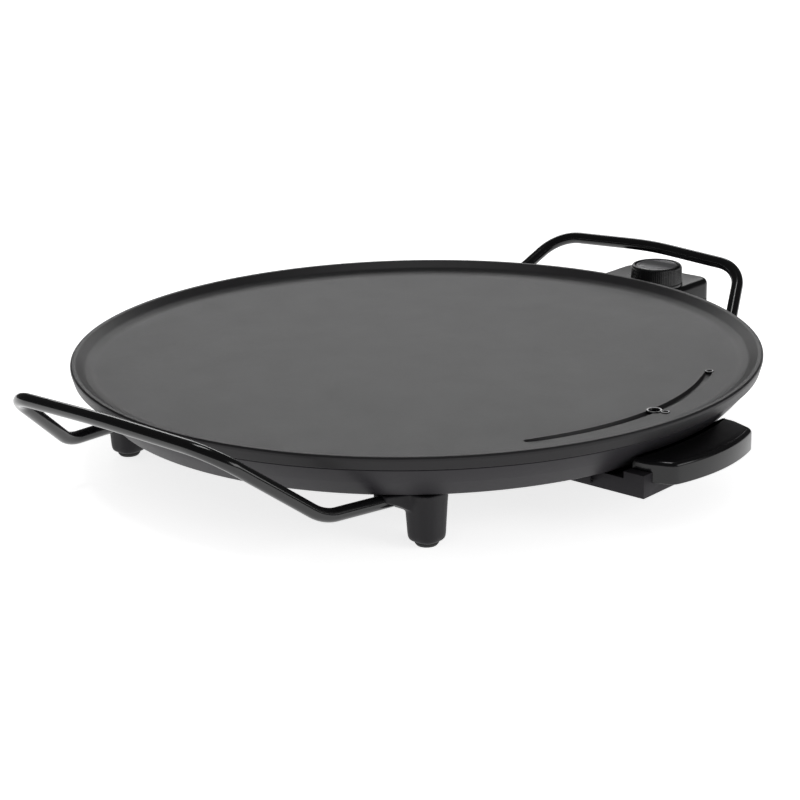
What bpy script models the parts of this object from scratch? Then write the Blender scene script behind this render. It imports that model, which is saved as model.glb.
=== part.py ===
"""Electric griddle: a round non-stick plate on a black base with four feet.

Two bent-rod handles are held in the feet, a grease tray slides out of the front (-Y), and a
plug-in thermostat with a rotary knob sits between the right handle's legs (+X).
Metres, +Z up. Every part hangs from one empty on the plate's axis, which is set back a little
from the origin because the grease tray stands out in front.
"""
import math

import bmesh
import bpy
from mathutils import Matrix, Vector

# ---- driving dimensions -------------------------------------------------------------------
GAP = 0.0003                       # running gap left between neighbouring parts

PLATE_RADIUS = 0.240
RIM_HEIGHT = 0.070                 # top of the plate's rim above the table
SURFACE_HEIGHT = 0.0635            # cooking surface above the table
PLATE_UNDERSIDE = 0.0595
SKIRT_BOTTOM = 0.0613
GROOVE_RADIUS = 0.2055
GROOVE_START = math.radians(-119.5)
GROOVE_END = math.radians(-65.0)
DRAIN_RADIUS = 0.0035
DRAIN_X = -0.0045                  # the drain lies in the groove, a little left of the middle
DRAIN_Y = -math.sqrt(GROOVE_RADIUS ** 2 - DRAIN_X ** 2)

HOUSING_TOP = 0.0609
HOUSING_TOP_RADIUS = 0.2370
HOUSING_BOTTOM_RADIUS = 0.2140
FLOOR_BOTTOM = 0.0365
FLOOR_TOP = 0.0385
HOUSING_WALL = 0.0024

FOOT_X = 0.150
FOOT_Y = 0.137
FOOT_TOP = FLOOR_BOTTOM - GAP
FOOT_BOTTOM = 0.0035
FOOT_TOP_RADIUS = 0.0130
FOOT_BOTTOM_RADIUS = 0.0108

ROD_RADIUS = 0.0045
ROD_END = Vector((0.1535, 0.1240, 0.0300))      # inside the foot
ROD_BENDS = {-1: Vector((0.2200, 0.1165, 0.0338)),          # where the leg turns upwards,
             1: Vector((0.2165, 0.1146, 0.0336))}           # left and right
ROD_CORNERS = {-1: Vector((0.2860, 0.0900, 0.0866)),        # leg meets the grip
               1: Vector((0.2792, 0.0864, 0.0808))}
ROD_BOW = 0.0060                                # the grip bows out by this much

TRAY_HALF_WIDTH = 0.058
TRAY_BOTTOM = 0.0254
TRAY_TOP = 0.0360
TRAY_NOSE_TOP = 0.0406
TRAY_FRONT_Y = -0.2355
TRAY_NOSE_Y = -0.2200              # the raised nose ends here, clear of the base's wall
TRAY_WELL_Y = -0.2128              # front of the well that catches the grease
TRAY_BACK_Y = -0.1280
TRAY_WALL = 0.0016
GRIP_HALF_WIDTH = 0.044
GRIP_BOTTOM = 0.0335
GRIP_TOP = 0.0480
GRIP_CORNER_Y = -0.2490
GRIP_MIDDLE_Y = -0.2562
GRIP_BACK_RADIUS = 0.2268
GRIP_WING = 0.0510                  # half width at the back, over the tray's nose
GRIP_WING_Y = -0.2310

ELEMENT_RADIUS = 0.125
ELEMENT_TUBE = 0.0035
ELEMENT_HEIGHT = 0.0555
TERMINAL_Y = 0.0174
TERMINAL_HEIGHT = 0.048
TERMINAL_RADIUS = 0.0030

BOX_BACK = 0.2438                  # thermostat housing, towards the plate
BOX_FRONT = 0.3090                 # its outer face
BOX_SIDE_LOW = -0.0420
BOX_SIDE_HIGH = 0.0360
BOX_BOTTOM = 0.0305
BOX_TOP = 0.0602
BOX_SPLIT = 0.0445
BOX_WALL = 0.0020
KNOB_X = 0.2648
KNOB_Y = -0.0190
KNOB_RADIUS = 0.0197
KNOB_TOP = 0.0762

INLET_REACH = 0.3125               # the cord inlet stands out furthest on the right
HANDLE_REACH = 0.2946              # outside of the left grip
AXIS_X = (HANDLE_REACH - INLET_REACH) / 2       # put the whole object's middle on the origin
AXIS_Y = (-GRIP_MIDDLE_Y - PLATE_RADIUS) / 2

SCREW_BORE = 0.0022                # clearance hole for the larger screws
SMALL_BORE = 0.0018                # clearance hole for the smaller screws
RAIL_SCREW = (0.0685, -0.168)
LUG_SCREW_X = 0.1975
LUG_SCREW_Y = 0.0065
LAMP_Y = -0.018
LAMP_Z = 0.0510
INLET_Y = 0.020
INLET_Z = 0.0375
CASE_SCREW_X = 0.2930
CASE_SCREW_Y = {"front": -0.0270, "rear": 0.0290}
GRIP_SCREW_X = 0.025
GRIP_SCREW_Z = 0.0365
LATHE_STEPS = 72

# ---- scene set-up -------------------------------------------------------------------------
for old in list(bpy.data.objects):
    bpy.data.objects.remove(old, do_unlink=True)

PARTS = bpy.data.collections.new("electric_griddle")
CUTTERS = bpy.data.collections.new("cutters")
bpy.context.scene.collection.children.link(PARTS)
bpy.context.scene.collection.children.link(CUTTERS)

AXIS = bpy.data.objects.new("griddle_axis", None)
AXIS.location = (AXIS_X, AXIS_Y, 0.0)
PARTS.objects.link(AXIS)


def make_material(name, colour, roughness, metallic=0.0):
    """Return a Principled material of one colour."""
    material = bpy.data.materials.new(name)
    material.use_nodes = True
    shader = material.node_tree.nodes["Principled BSDF"]
    shader.inputs["Base Color"].default_value = (*colour, 1.0)
    shader.inputs["Roughness"].default_value = roughness
    shader.inputs["Metallic"].default_value = metallic
    return material


NON_STICK = make_material("non_stick_coating", (0.085, 0.083, 0.088), 0.50)
HOUSING = make_material("housing_plastic", (0.045, 0.044, 0.047), 0.45)
ENAMEL = make_material("gloss_enamel", (0.008, 0.008, 0.009), 0.18)
GLOSS = make_material("gloss_plastic", (0.008, 0.008, 0.009), 0.15)
RUBBER = make_material("rubber_pad", (0.020, 0.020, 0.020), 0.80)
ZINC = make_material("zinc_screw", (0.60, 0.60, 0.60), 0.35, 1.0)
SHEET = make_material("reflector_sheet", (0.70, 0.71, 0.72), 0.30, 1.0)
ELEMENT = make_material("element_sheath", (0.22, 0.20, 0.19), 0.50, 1.0)
CERAMIC = make_material("insulator", (0.55, 0.52, 0.46), 0.60)
BRASS = make_material("contact_brass", (0.72, 0.52, 0.22), 0.35, 1.0)
LAMP = make_material("lamp_lens", (0.80, 0.16, 0.04), 0.15)
DIAL = make_material("dial_grey", (0.16, 0.16, 0.17), 0.40)


# ---- shape helpers ------------------------------------------------------------------------
def register(name, data, material, cutter=False):
    """Link a new object under the plate's axis, as a part or as a hidden cutter."""
    made = bpy.data.objects.new(name, data)
    made.parent = AXIS
    if cutter:
        CUTTERS.objects.link(made)
        made.display_type = "WIRE"
        made.hide_render = True
    else:
        PARTS.objects.link(made)
        made.data.materials.append(material)
    return made


def shade(part):
    """Smooth the round faces and keep the hard edges crisp."""
    part.data.shade_smooth()
    part.data.set_sharp_from_angle(angle=math.radians(35))


def boolean(part, cutter, operation="DIFFERENCE"):
    """Cut a part with a closed cutter, or join the cutter's shape to it."""
    modifier = part.modifiers.new(operation.lower(), "BOOLEAN")
    modifier.operation = operation
    modifier.solver = "EXACT"
    modifier.object = cutter


def bevel(part, width, segments=2):
    """Round a part's edges."""
    modifier = part.modifiers.new("rounded_edges", "BEVEL")
    modifier.width = width
    modifier.segments = segments
    modifier.limit_method = "ANGLE"
    modifier.angle_limit = math.radians(40)


def box(name, low, high, material=None, round_edges=0.0, cutter=False):
    """A box between two corners."""
    low, high = Vector(low), Vector(high)
    mesh = bpy.data.meshes.new(name)
    cube = bmesh.new()
    bmesh.ops.create_cube(cube, size=1.0)
    bmesh.ops.scale(cube, vec=high - low, verts=cube.verts)
    cube.to_mesh(mesh)
    cube.free()
    made = register(name, mesh, material, cutter)
    made.location = (low + high) / 2
    if round_edges:
        bevel(made, round_edges)
    return made


def cone(name, start, end, radius, end_radius=None, material=None, sides=16, cutter=False):
    """A cylinder or a cone between two points on its axis."""
    start, end = Vector(start), Vector(end)
    end_radius = radius if end_radius is None else end_radius
    turn = (end - start).to_track_quat("Z", "Y")
    mesh = bpy.data.meshes.new(name)
    form = bmesh.new()
    bmesh.ops.create_cone(form, cap_ends=True, cap_tris=False, segments=sides,
                          radius1=radius, radius2=end_radius, depth=(end - start).length)
    form.to_mesh(mesh)
    form.free()
    made = register(name, mesh, material, cutter)
    made.location = (start + end) / 2
    made.rotation_mode = "QUATERNION"
    made.rotation_quaternion = turn
    if not cutter:
        shade(made)
    return made


def turned(name, profile, material, centre=(0.0, 0.0), steps=LATHE_STEPS):
    """A profile of (radius, height) points turned about a vertical axis."""
    mesh = bpy.data.meshes.new(name)
    closed = profile[0][0] > 0.0 and profile[-1][0] > 0.0
    edges = [(i, i + 1) for i in range(len(profile) - 1)]
    if closed:
        edges.append((len(profile) - 1, 0))
    mesh.from_pydata([(radius, 0.0, height) for radius, height in profile], edges, [])
    made = register(name, mesh, material)
    made.location = (*centre, 0.0)
    screw = made.modifiers.new("turn", "SCREW")
    screw.axis = "Z"
    screw.steps = steps
    screw.render_steps = steps
    screw.use_merge_vertices = True
    screw.merge_threshold = 0.00001
    screw.use_smooth_shade = True
    return made


def curve_as_mesh(name, curve, material, cutter=False):
    """Turn a curve into a welded closed mesh object."""
    guide = bpy.data.objects.new(name + "_curve", curve)
    CUTTERS.objects.link(guide)
    bpy.context.view_layer.update()
    evaluated = guide.evaluated_get(bpy.context.evaluated_depsgraph_get())
    mesh = bpy.data.meshes.new_from_object(evaluated)
    bpy.data.objects.remove(guide, do_unlink=True)
    weld = bmesh.new()
    weld.from_mesh(mesh)
    bmesh.ops.remove_doubles(weld, verts=weld.verts, dist=0.00001)
    bmesh.ops.recalc_face_normals(weld, faces=weld.faces)
    weld.to_mesh(mesh)
    weld.free()
    mesh.materials.clear()
    made = register(name, mesh, material, cutter)
    if not cutter:
        shade(made)
    return made


def prism(name, outline, low, high, material=None, cutter=False):
    """A flat outline of (x, y) points given a thickness from low to high."""
    curve = bpy.data.curves.new(name, "CURVE")
    curve.dimensions = "2D"
    curve.fill_mode = "BOTH"
    curve.extrude = (high - low) / 2
    spline = curve.splines.new("POLY")
    spline.points.add(len(outline) - 1)
    for point, (x, y) in zip(spline.points, outline):
        point.co = (x, y, 0.0, 1.0)
    spline.use_cyclic_u = True
    made = curve_as_mesh(name, curve, material, cutter)
    made.location.z = (high + low) / 2
    return made


def rod(name, points, radius, material=None, cutter=False):
    """A round rod along a list of points."""
    curve = bpy.data.curves.new(name, "CURVE")
    curve.dimensions = "3D"
    curve.bevel_depth = radius
    curve.bevel_resolution = 2
    curve.use_fill_caps = True
    spline = curve.splines.new("POLY")
    spline.points.add(len(points) - 1)
    for point, place in zip(spline.points, points):
        point.co = (*place, 1.0)
    return curve_as_mesh(name, curve, material, cutter)


def rounded_route(corners, radii, steps=6):
    """Points along straight runs whose corners are replaced by arcs of the given radii."""
    route = [Vector(corners[0])]
    for before, corner, after, radius in zip(corners, corners[1:], corners[2:], radii):
        into = (Vector(before) - Vector(corner)).normalized()
        out = (Vector(after) - Vector(corner)).normalized()
        half = into.angle(out) / 2
        middle = Vector(corner) + (into + out).normalized() * (radius / math.sin(half))
        start = Vector(corner) + into * (radius / math.tan(half)) - middle
        end = Vector(corner) + out * (radius / math.tan(half)) - middle
        for i in range(steps + 1):
            route.append(middle + start.slerp(end, i / steps).normalized() * radius)
    route.append(Vector(corners[-1]))
    return route


def arc(radius, start, end, steps, height=0.0):
    """Points on an arc about the plate's axis."""
    return [Vector((radius * math.cos(start + (end - start) * i / steps),
                    radius * math.sin(start + (end - start) * i / steps), height))
            for i in range(steps + 1)]


def rounded_rectangle(low, high, radius, steps=4):
    """Outline of a rectangle with rounded corners, anticlockwise."""
    corners = ((high[0] - radius, high[1] - radius), (low[0] + radius, high[1] - radius),
               (low[0] + radius, low[1] + radius), (high[0] - radius, low[1] + radius))
    outline = []
    for quarter, (x, y) in enumerate(corners):
        for i in range(steps + 1):
            angle = math.pi / 2 * (quarter + i / steps)
            outline.append((x + radius * math.cos(angle), y + radius * math.sin(angle)))
    return outline


def screw(name, seat, direction, length, head_radius=0.0036, shank_radius=0.0018):
    """A pan-head screw: its head stands behind the seat and its shank runs along direction."""
    direction = Vector(direction)
    seat = Vector(seat)
    head = cone(name, seat - direction * 0.0022, seat, head_radius * 0.8, head_radius, ZINC, 12)
    shank = cone(name + "_shank", seat - direction * 0.0005, seat + direction * length,
                 shank_radius, material=None, sides=10, cutter=True)
    boolean(head, shank, "UNION")
    return head


def drill(part, name, start, end, radius, sides=12):
    """A round hole through a part."""
    boolean(part, cone(name, start, end, radius, sides=sides, cutter=True))


# ---- plate and heating ---------------------------------------------------------------------
POST_PLACES = [(x, y) for x in (-0.090, 0.090) for y in (-0.155, 0.155)]
CLAMP_ANGLES = [math.radians(a) for a in (50, 130, 230, 310)]
CLAMP_BOSS_RADIUS = ELEMENT_RADIUS - 0.011


def build_plate():
    """Cast plate: raised rim, short skirt, grease groove with its drain, and screw posts."""
    plate = turned("griddle_plate", [
        (0.0, SURFACE_HEIGHT), (0.2225, SURFACE_HEIGHT), (0.2292, 0.0650), (0.2335, 0.0676),
        (0.2364, 0.0698), (0.2374, RIM_HEIGHT), (0.2390, RIM_HEIGHT),
        (PLATE_RADIUS, 0.0691), (PLATE_RADIUS, 0.0674), (0.2382, SKIRT_BOTTOM),
        (0.2350, SKIRT_BOTTOM), (0.2305, PLATE_UNDERSIDE), (0.0, PLATE_UNDERSIDE)], NON_STICK)
    for i, (x, y) in enumerate(POST_PLACES, 1):
        boolean(plate, cone("plate_post_%d" % i, (x, y, FLOOR_TOP + GAP),
                            (x, y, PLATE_UNDERSIDE + 0.001), 0.005, cutter=True), "UNION")
        drill(plate, "post_hole_%d" % i, (x, y, 0.030), (x, y, 0.0545), SCREW_BORE)
    for i, angle in enumerate(CLAMP_ANGLES, 1):
        x, y = CLAMP_BOSS_RADIUS * math.cos(angle), CLAMP_BOSS_RADIUS * math.sin(angle)
        boolean(plate, cone("clamp_boss_%d" % i, (x, y, 0.0520), (x, y, 0.0605), 0.0045,
                            cutter=True), "UNION")
        drill(plate, "boss_hole_%d" % i, (x, y, 0.045), (x, y, 0.0585), SMALL_BORE)
    groove = arc(GROOVE_RADIUS, GROOVE_START, GROOVE_END, 22, SURFACE_HEIGHT + 0.0018)
    boolean(plate, rod("grease_groove", groove, 0.0034, cutter=True))
    drain = Vector((DRAIN_X, DRAIN_Y, 0.0))
    drill(plate, "drain_hole", drain + Vector((0, 0, 0.050)), drain + Vector((0, 0, 0.070)),
          DRAIN_RADIUS)
    boolean(plate, cone("drain_chamfer", drain + Vector((0, 0, 0.0610)),
                        drain + Vector((0, 0, 0.0640)), 0.0030, 0.0058, sides=16, cutter=True))


def build_heating():
    """Tubular element with its pins, clamps and the sheet reflector under it."""
    gap_angle = math.asin(TERMINAL_Y / ELEMENT_RADIUS)
    ring = arc(ELEMENT_RADIUS, gap_angle + 0.10, 2 * math.pi - gap_angle - 0.10, 36,
               ELEMENT_HEIGHT)
    rear_leg = rounded_route([
        ring[0], (ELEMENT_RADIUS + 0.004, TERMINAL_Y, ELEMENT_HEIGHT),
        (0.182, TERMINAL_Y, ELEMENT_HEIGHT), (0.194, TERMINAL_Y, TERMINAL_HEIGHT),
        (0.2062, TERMINAL_Y, TERMINAL_HEIGHT)], (0.010, 0.010, 0.010), 4)
    front_leg = [Vector((p.x, -p.y, p.z)) for p in rear_leg]
    rod("heating_element", rear_leg[:0:-1] + ring + front_leg[1:], ELEMENT_TUBE, ELEMENT)
    for side, y in (("rear", TERMINAL_Y), ("front", -TERMINAL_Y)):
        cone("terminal_pin_" + side, (0.2065, y, TERMINAL_HEIGHT), (0.2385, y, TERMINAL_HEIGHT),
             TERMINAL_RADIUS, material=ZINC, sides=12)
    for i, angle in enumerate(CLAMP_ANGLES, 1):
        across = Vector((math.cos(angle), math.sin(angle), 0.0))
        clamp = box("element_clamp_%d" % i, (-0.0115, -0.004, -0.0006),
                    (0.0115, 0.004, 0.0006), ZINC)
        clamp.location = across * (CLAMP_BOSS_RADIUS + 0.0065) + Vector((0, 0, 0.0510))
        clamp.rotation_euler.z = angle
        boss = across * CLAMP_BOSS_RADIUS
        drill(clamp, "clamp_hole_%d" % i, boss + Vector((0, 0, 0.048)),
              boss + Vector((0, 0, 0.054)), SMALL_BORE)
        screw("clamp_screw_%d" % i, boss + Vector((0, 0, 0.0501)), (0, 0, 1), 0.0078,
              0.0030, 0.0014)
    turned("reflector_plate", [
        (0.0, 0.0448), (0.1640, 0.0448), (0.1676, FLOOR_TOP + GAP), (0.1667, FLOOR_TOP + GAP),
        (0.1633, 0.0440), (0.0, 0.0440)], SHEET)


# ---- base ----------------------------------------------------------------------------------
FOOT_PLACES = {"front_left": (-1, -1), "front_right": (1, -1),
               "rear_left": (-1, 1), "rear_right": (1, 1)}
VENT_COUNT = 12


def build_housing():
    """Tapered base shell with a vented floor and openings for the tray spout and the plug."""
    shell = turned("base_housing", [
        (0.0, FLOOR_TOP), (0.2132, FLOOR_TOP), (HOUSING_TOP_RADIUS - HOUSING_WALL, HOUSING_TOP),
        (HOUSING_TOP_RADIUS, HOUSING_TOP), (0.2162, 0.0376),
        (HOUSING_BOTTOM_RADIUS, FLOOR_BOTTOM), (0.0, FLOOR_BOTTOM)], HOUSING)
    for i, (x, y) in enumerate(POST_PLACES, 1):
        drill(shell, "housing_hole_%d" % i, (x, y, 0.030), (x, y, 0.040), SCREW_BORE)
        screw("housing_screw_%d" % i, (x, y, FLOOR_BOTTOM - GAP), (0, 0, 1), 0.0165)
    for name, (side, end) in FOOT_PLACES.items():
        drill(shell, "foot_hole_" + name, (side * FOOT_X, end * FOOT_Y, 0.030),
              (side * FOOT_X, end * FOOT_Y, 0.040), SCREW_BORE)
    for i in range(VENT_COUNT):
        angle = 2 * math.pi * (i + 0.5) / VENT_COUNT
        slot = box("vent_%d" % i, (0.040, -0.0015, 0.030), (0.072, 0.0015, 0.040), cutter=True)
        slot.location = Matrix.Rotation(angle, 4, "Z") @ slot.location
        slot.rotation_euler.z = angle
        boolean(shell, slot)
    for side in (-1, 1):
        x, y = side * RAIL_SCREW[0], RAIL_SCREW[1]
        drill(shell, "rail_hole_%d" % side, (x, y, 0.030), (x, y, 0.040), SCREW_BORE)
        y = side * LUG_SCREW_Y
        drill(shell, "shroud_hole_%d" % side, (LUG_SCREW_X, y, 0.030),
              (LUG_SCREW_X, y, 0.040), SCREW_BORE)
    drill(shell, "spout_hole", (DRAIN_X, DRAIN_Y, 0.030), (DRAIN_X, DRAIN_Y, 0.040),
          0.0068, 16)
    boolean(shell, box("plug_window", (0.200, -0.0278, 0.0389), (0.250, 0.0278, 0.0583),
                       cutter=True))


def build_feet():
    """Four tapered feet, each with a socket for one end of a handle, a screw and a pad."""
    for name, (side, end) in FOOT_PLACES.items():
        x, y = side * FOOT_X, end * FOOT_Y
        foot = cone("foot_" + name, (x, y, FOOT_BOTTOM), (x, y, FOOT_TOP), FOOT_BOTTOM_RADIUS,
                    FOOT_TOP_RADIUS, HOUSING, 20)
        arm_x = sorted((side * 0.1440, side * 0.1760))
        arm_y = sorted((end * 0.1155, end * 0.1360))
        arm = box("socket_arm_" + name, (arm_x[0], arm_y[0], 0.0235),
                  (arm_x[1], arm_y[1], FOOT_TOP - 0.0001), cutter=True)
        boolean(foot, arm, "UNION")
        mirror = Vector((side, end, 1))
        start = ROD_END * mirror
        onward = (ROD_BENDS[side] * mirror - start).normalized()
        drill(foot, "rod_socket_" + name, start - onward * 0.0006, start + onward * 0.040,
              ROD_RADIUS + 0.0004, 16)
        drill(foot, "pad_bore_" + name, (x, y, 0.0), (x, y, 0.0200), 0.0045)
        drill(foot, "screw_bore_" + name, (x, y, 0.0), (x, y, 0.040), SCREW_BORE)
        screw("foot_screw_" + name, (x, y, 0.0197), (0, 0, 1), 0.0215, 0.0038)
        turned("foot_pad_" + name, [
            (0.0, 0.0140), (0.0038, 0.0140), (0.0038, FOOT_BOTTOM - GAP),
            (0.0076, FOOT_BOTTOM - GAP), (0.0076, 0.0014), (0.0062, 0.0), (0.0, 0.0)],
            RUBBER, (x, y), 20)


def handle_route(side):
    """Centre line of one handle: foot, bend, corner, bowed grip, and back."""
    bend, corner = ROD_BENDS[side], ROD_CORNERS[side]
    rise = corner - bend
    rise.y = 0.0
    middle = Vector((corner.x, 0.0, corner.z)) + rise.normalized() * ROD_BOW
    half = [ROD_END, bend, corner]
    corners = [Vector((p.x, -p.y, p.z)) for p in half] + [middle] + half[::-1]
    route = rounded_route(corners, (0.030, 0.030, 0.250, 0.030, 0.030), 7)
    return [Vector((side * p.x, p.y, p.z)) for p in route]


def build_handles():
    """Two bent rods, left and right."""
    rod("handle_left", handle_route(-1), ROD_RADIUS, ENAMEL)
    rod("handle_right", handle_route(1), ROD_RADIUS, ENAMEL)


# ---- grease tray ---------------------------------------------------------------------------
def build_chute():
    """Spout under the drain, resting on the base's floor."""
    turned("drip_chute", [
        (0.0052, 0.0590), (0.0064, 0.0590), (0.0064, 0.0403), (0.0076, 0.0403),
        (0.0076, FLOOR_TOP + GAP), (0.0064, FLOOR_TOP + GAP), (0.0064, 0.0367),
        (0.0052, 0.0367)], SHEET, (DRAIN_X, DRAIN_Y), 20)


def build_rails():
    """Two angle rails under the floor, each held by a screw."""
    for name, side in (("left", -1), ("right", 1)):
        x0, x1 = sorted((side * 0.0617, side * 0.0637))
        rail = box("tray_rail_" + name, (x0, -0.198, 0.0285), (x1, -0.130, FOOT_TOP), HOUSING)
        x0, x1 = sorted((side * 0.0591, side * 0.0620))
        boolean(rail, box("rail_lip_" + name, (x0, -0.198, 0.0285), (x1, -0.130, 0.0300),
                          cutter=True), "UNION")
        x0, x1 = sorted((side * 0.0630, side * 0.0735))
        boolean(rail, box("rail_flange_" + name, (x0, -0.182, 0.0345), (x1, -0.154, FOOT_TOP),
                          cutter=True), "UNION")
        x, y = side * RAIL_SCREW[0], RAIL_SCREW[1]
        drill(rail, "rail_bore_" + name, (x, y, 0.030), (x, y, 0.040), SCREW_BORE)
        screw("rail_screw_" + name, (x, y, 0.0342), (0, 0, 1), 0.0068)


def build_tray():
    """Drawer with side ribs on the rails and a raised hollow nose in front."""
    half, wall = TRAY_HALF_WIDTH, TRAY_WALL
    tray = box("grease_tray", (-half, TRAY_FRONT_Y, TRAY_BOTTOM), (half, TRAY_BACK_Y, TRAY_TOP),
               HOUSING)
    boolean(tray, box("tray_nose", (-half, TRAY_FRONT_Y, TRAY_BOTTOM + 0.001),
                      (half, TRAY_NOSE_Y, TRAY_NOSE_TOP), cutter=True), "UNION")
    boolean(tray, box("tray_well", (-half + wall, TRAY_WELL_Y, TRAY_BOTTOM + wall),
                      (half - wall, TRAY_BACK_Y - wall, 0.050), cutter=True))
    for name, back, top in (("low", TRAY_WELL_Y, TRAY_TOP), ("high", TRAY_NOSE_Y, TRAY_NOSE_TOP)):
        boolean(tray, box("nose_hollow_" + name, (-half + wall, TRAY_FRONT_Y + wall, 0.020),
                          (half - wall, back - wall, top - wall), cutter=True))
    for side in (-1, 1):
        x0, x1 = sorted((side * (half - 0.0005), side * 0.0610))
        boolean(tray, box("tray_rib_%d" % side, (x0, -0.195, 0.0303), (x1, -0.130, 0.0320),
                          cutter=True), "UNION")
        drill(tray, "grip_hole_%d" % side, (side * GRIP_SCREW_X, -0.240, GRIP_SCREW_Z),
              (side * GRIP_SCREW_X, -0.225, GRIP_SCREW_Z), SMALL_BORE)


def grip_outline():
    """Plan of the grip: a bowed front and a back that follows the base's wall."""
    sag = GRIP_CORNER_Y - GRIP_MIDDLE_Y
    bow = (GRIP_HALF_WIDTH ** 2 + sag ** 2) / (2 * sag)
    spread = math.asin(GRIP_HALF_WIDTH / bow)
    front = [(bow * math.sin(t), GRIP_MIDDLE_Y + bow - bow * math.cos(t))
             for t in (spread * (i / 8 - 1) for i in range(17))]
    reach = math.asin(GRIP_WING / GRIP_BACK_RADIUS)
    back = [(GRIP_BACK_RADIUS * math.sin(t), -GRIP_BACK_RADIUS * math.cos(t))
            for t in (reach * (1 - i / 4) for i in range(9))]
    return front + [(GRIP_WING, GRIP_WING_Y)] + back + [(-GRIP_WING, GRIP_WING_Y)]


def build_grip():
    """Glossy grip in front of the tray, hooked over its front wall and held by two screws."""
    grip = prism("tray_front", grip_outline(), GRIP_BOTTOM, GRIP_TOP, GLOSS)
    boolean(grip, box("grip_step", (-0.060, TRAY_FRONT_Y - GAP, 0.030),
                      (0.060, -0.200, TRAY_NOSE_TOP + GAP), cutter=True))
    for side in (-1, 1):
        x = side * GRIP_SCREW_X
        drill(grip, "grip_bore_%d" % side, (x, -0.2445, GRIP_SCREW_Z),
              (x, -0.230, GRIP_SCREW_Z), SMALL_BORE)
        screw("tray_screw_" + ("left" if side < 0 else "right"),
              (x, TRAY_FRONT_Y + TRAY_WALL + GAP, GRIP_SCREW_Z), (0, -1, 0), 0.0100,
              0.0022, 0.0014)


# ---- thermostat ----------------------------------------------------------------------------
PIN_PLACES = {"rear": TERMINAL_Y, "probe": 0.0, "front": -TERMINAL_Y}


def build_shroud():
    """Socket in the base's wall that surrounds the pins."""
    shroud = box("inlet_shroud", (0.2068, -0.0275, 0.0392), (0.2415, 0.0275, 0.0580), CERAMIC)
    boolean(shroud, box("shroud_lug", (0.190, -0.0115, 0.0392), (0.2080, 0.0115, 0.0407),
                        cutter=True), "UNION")
    boolean(shroud, box("shroud_cavity", (0.2098, -0.0250, 0.0417), (0.2500, 0.0250, 0.0555),
                        cutter=True))
    for name, y in PIN_PLACES.items():
        drill(shroud, "shroud_bore_" + name, (0.200, y, TERMINAL_HEIGHT),
              (0.215, y, TERMINAL_HEIGHT), 0.0034)
    for name, y in (("front", -LUG_SCREW_Y), ("rear", LUG_SCREW_Y)):
        drill(shroud, "lug_bore_" + name, (LUG_SCREW_X, y, 0.035), (LUG_SCREW_X, y, 0.043),
              SCREW_BORE)
        screw("shroud_screw_" + name, (LUG_SCREW_X, y, 0.0407 + GAP), (0, 0, -1), 0.0060,
              0.0031)


def build_contacts():
    """Insulating block that carries the two sleeves and the probe."""
    block = box("contact_block", (0.2135, -0.0235, 0.0428), (0.2530, 0.0235, 0.0545), CERAMIC)
    for name, y in PIN_PLACES.items():
        bore = 0.0031 if name == "probe" else 0.0042
        drill(block, "block_bore_" + name, (0.200, y, TERMINAL_HEIGHT),
              (0.260, y, TERMINAL_HEIGHT), bore, 16)
        if name == "probe":
            cone("probe", (0.1720, y, TERMINAL_HEIGHT), (0.2550, y, TERMINAL_HEIGHT), 0.0027,
                 material=ZINC)
            continue
        sleeve = cone("contact_sleeve_" + name, (0.2150, y, TERMINAL_HEIGHT),
                      (0.2525, y, TERMINAL_HEIGHT), 0.0039, material=BRASS)
        drill(sleeve, "sleeve_bore_" + name, (0.210, y, TERMINAL_HEIGHT),
              (0.245, y, TERMINAL_HEIGHT), TERMINAL_RADIUS + 0.0003, 16)


def thermostat_half(name, keep_low, keep_high):
    """One half of the thermostat's housing, cut from the same rounded, hollow body."""
    half = prism(name, rounded_rectangle((BOX_BACK, BOX_SIDE_LOW), (BOX_FRONT, BOX_SIDE_HIGH),
                                         0.011), BOX_BOTTOM, BOX_TOP, GLOSS)
    bevel(half, 0.0022)
    boolean(half, prism(name + "_hollow", rounded_rectangle(
        (BOX_BACK + BOX_WALL, BOX_SIDE_LOW + BOX_WALL),
        (BOX_FRONT - BOX_WALL, BOX_SIDE_HIGH - BOX_WALL), 0.009),
        BOX_BOTTOM + BOX_WALL, BOX_TOP - BOX_WALL, cutter=True))
    boolean(half, box(name + "_keep", (0.230, -0.060, keep_low), (0.330, 0.060, keep_high),
                      cutter=True), "INTERSECT")
    boolean(half, box(name + "_window", (0.230, -0.0238, 0.0425), (0.2480, 0.0238, 0.0548),
                      cutter=True))
    return half


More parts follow.
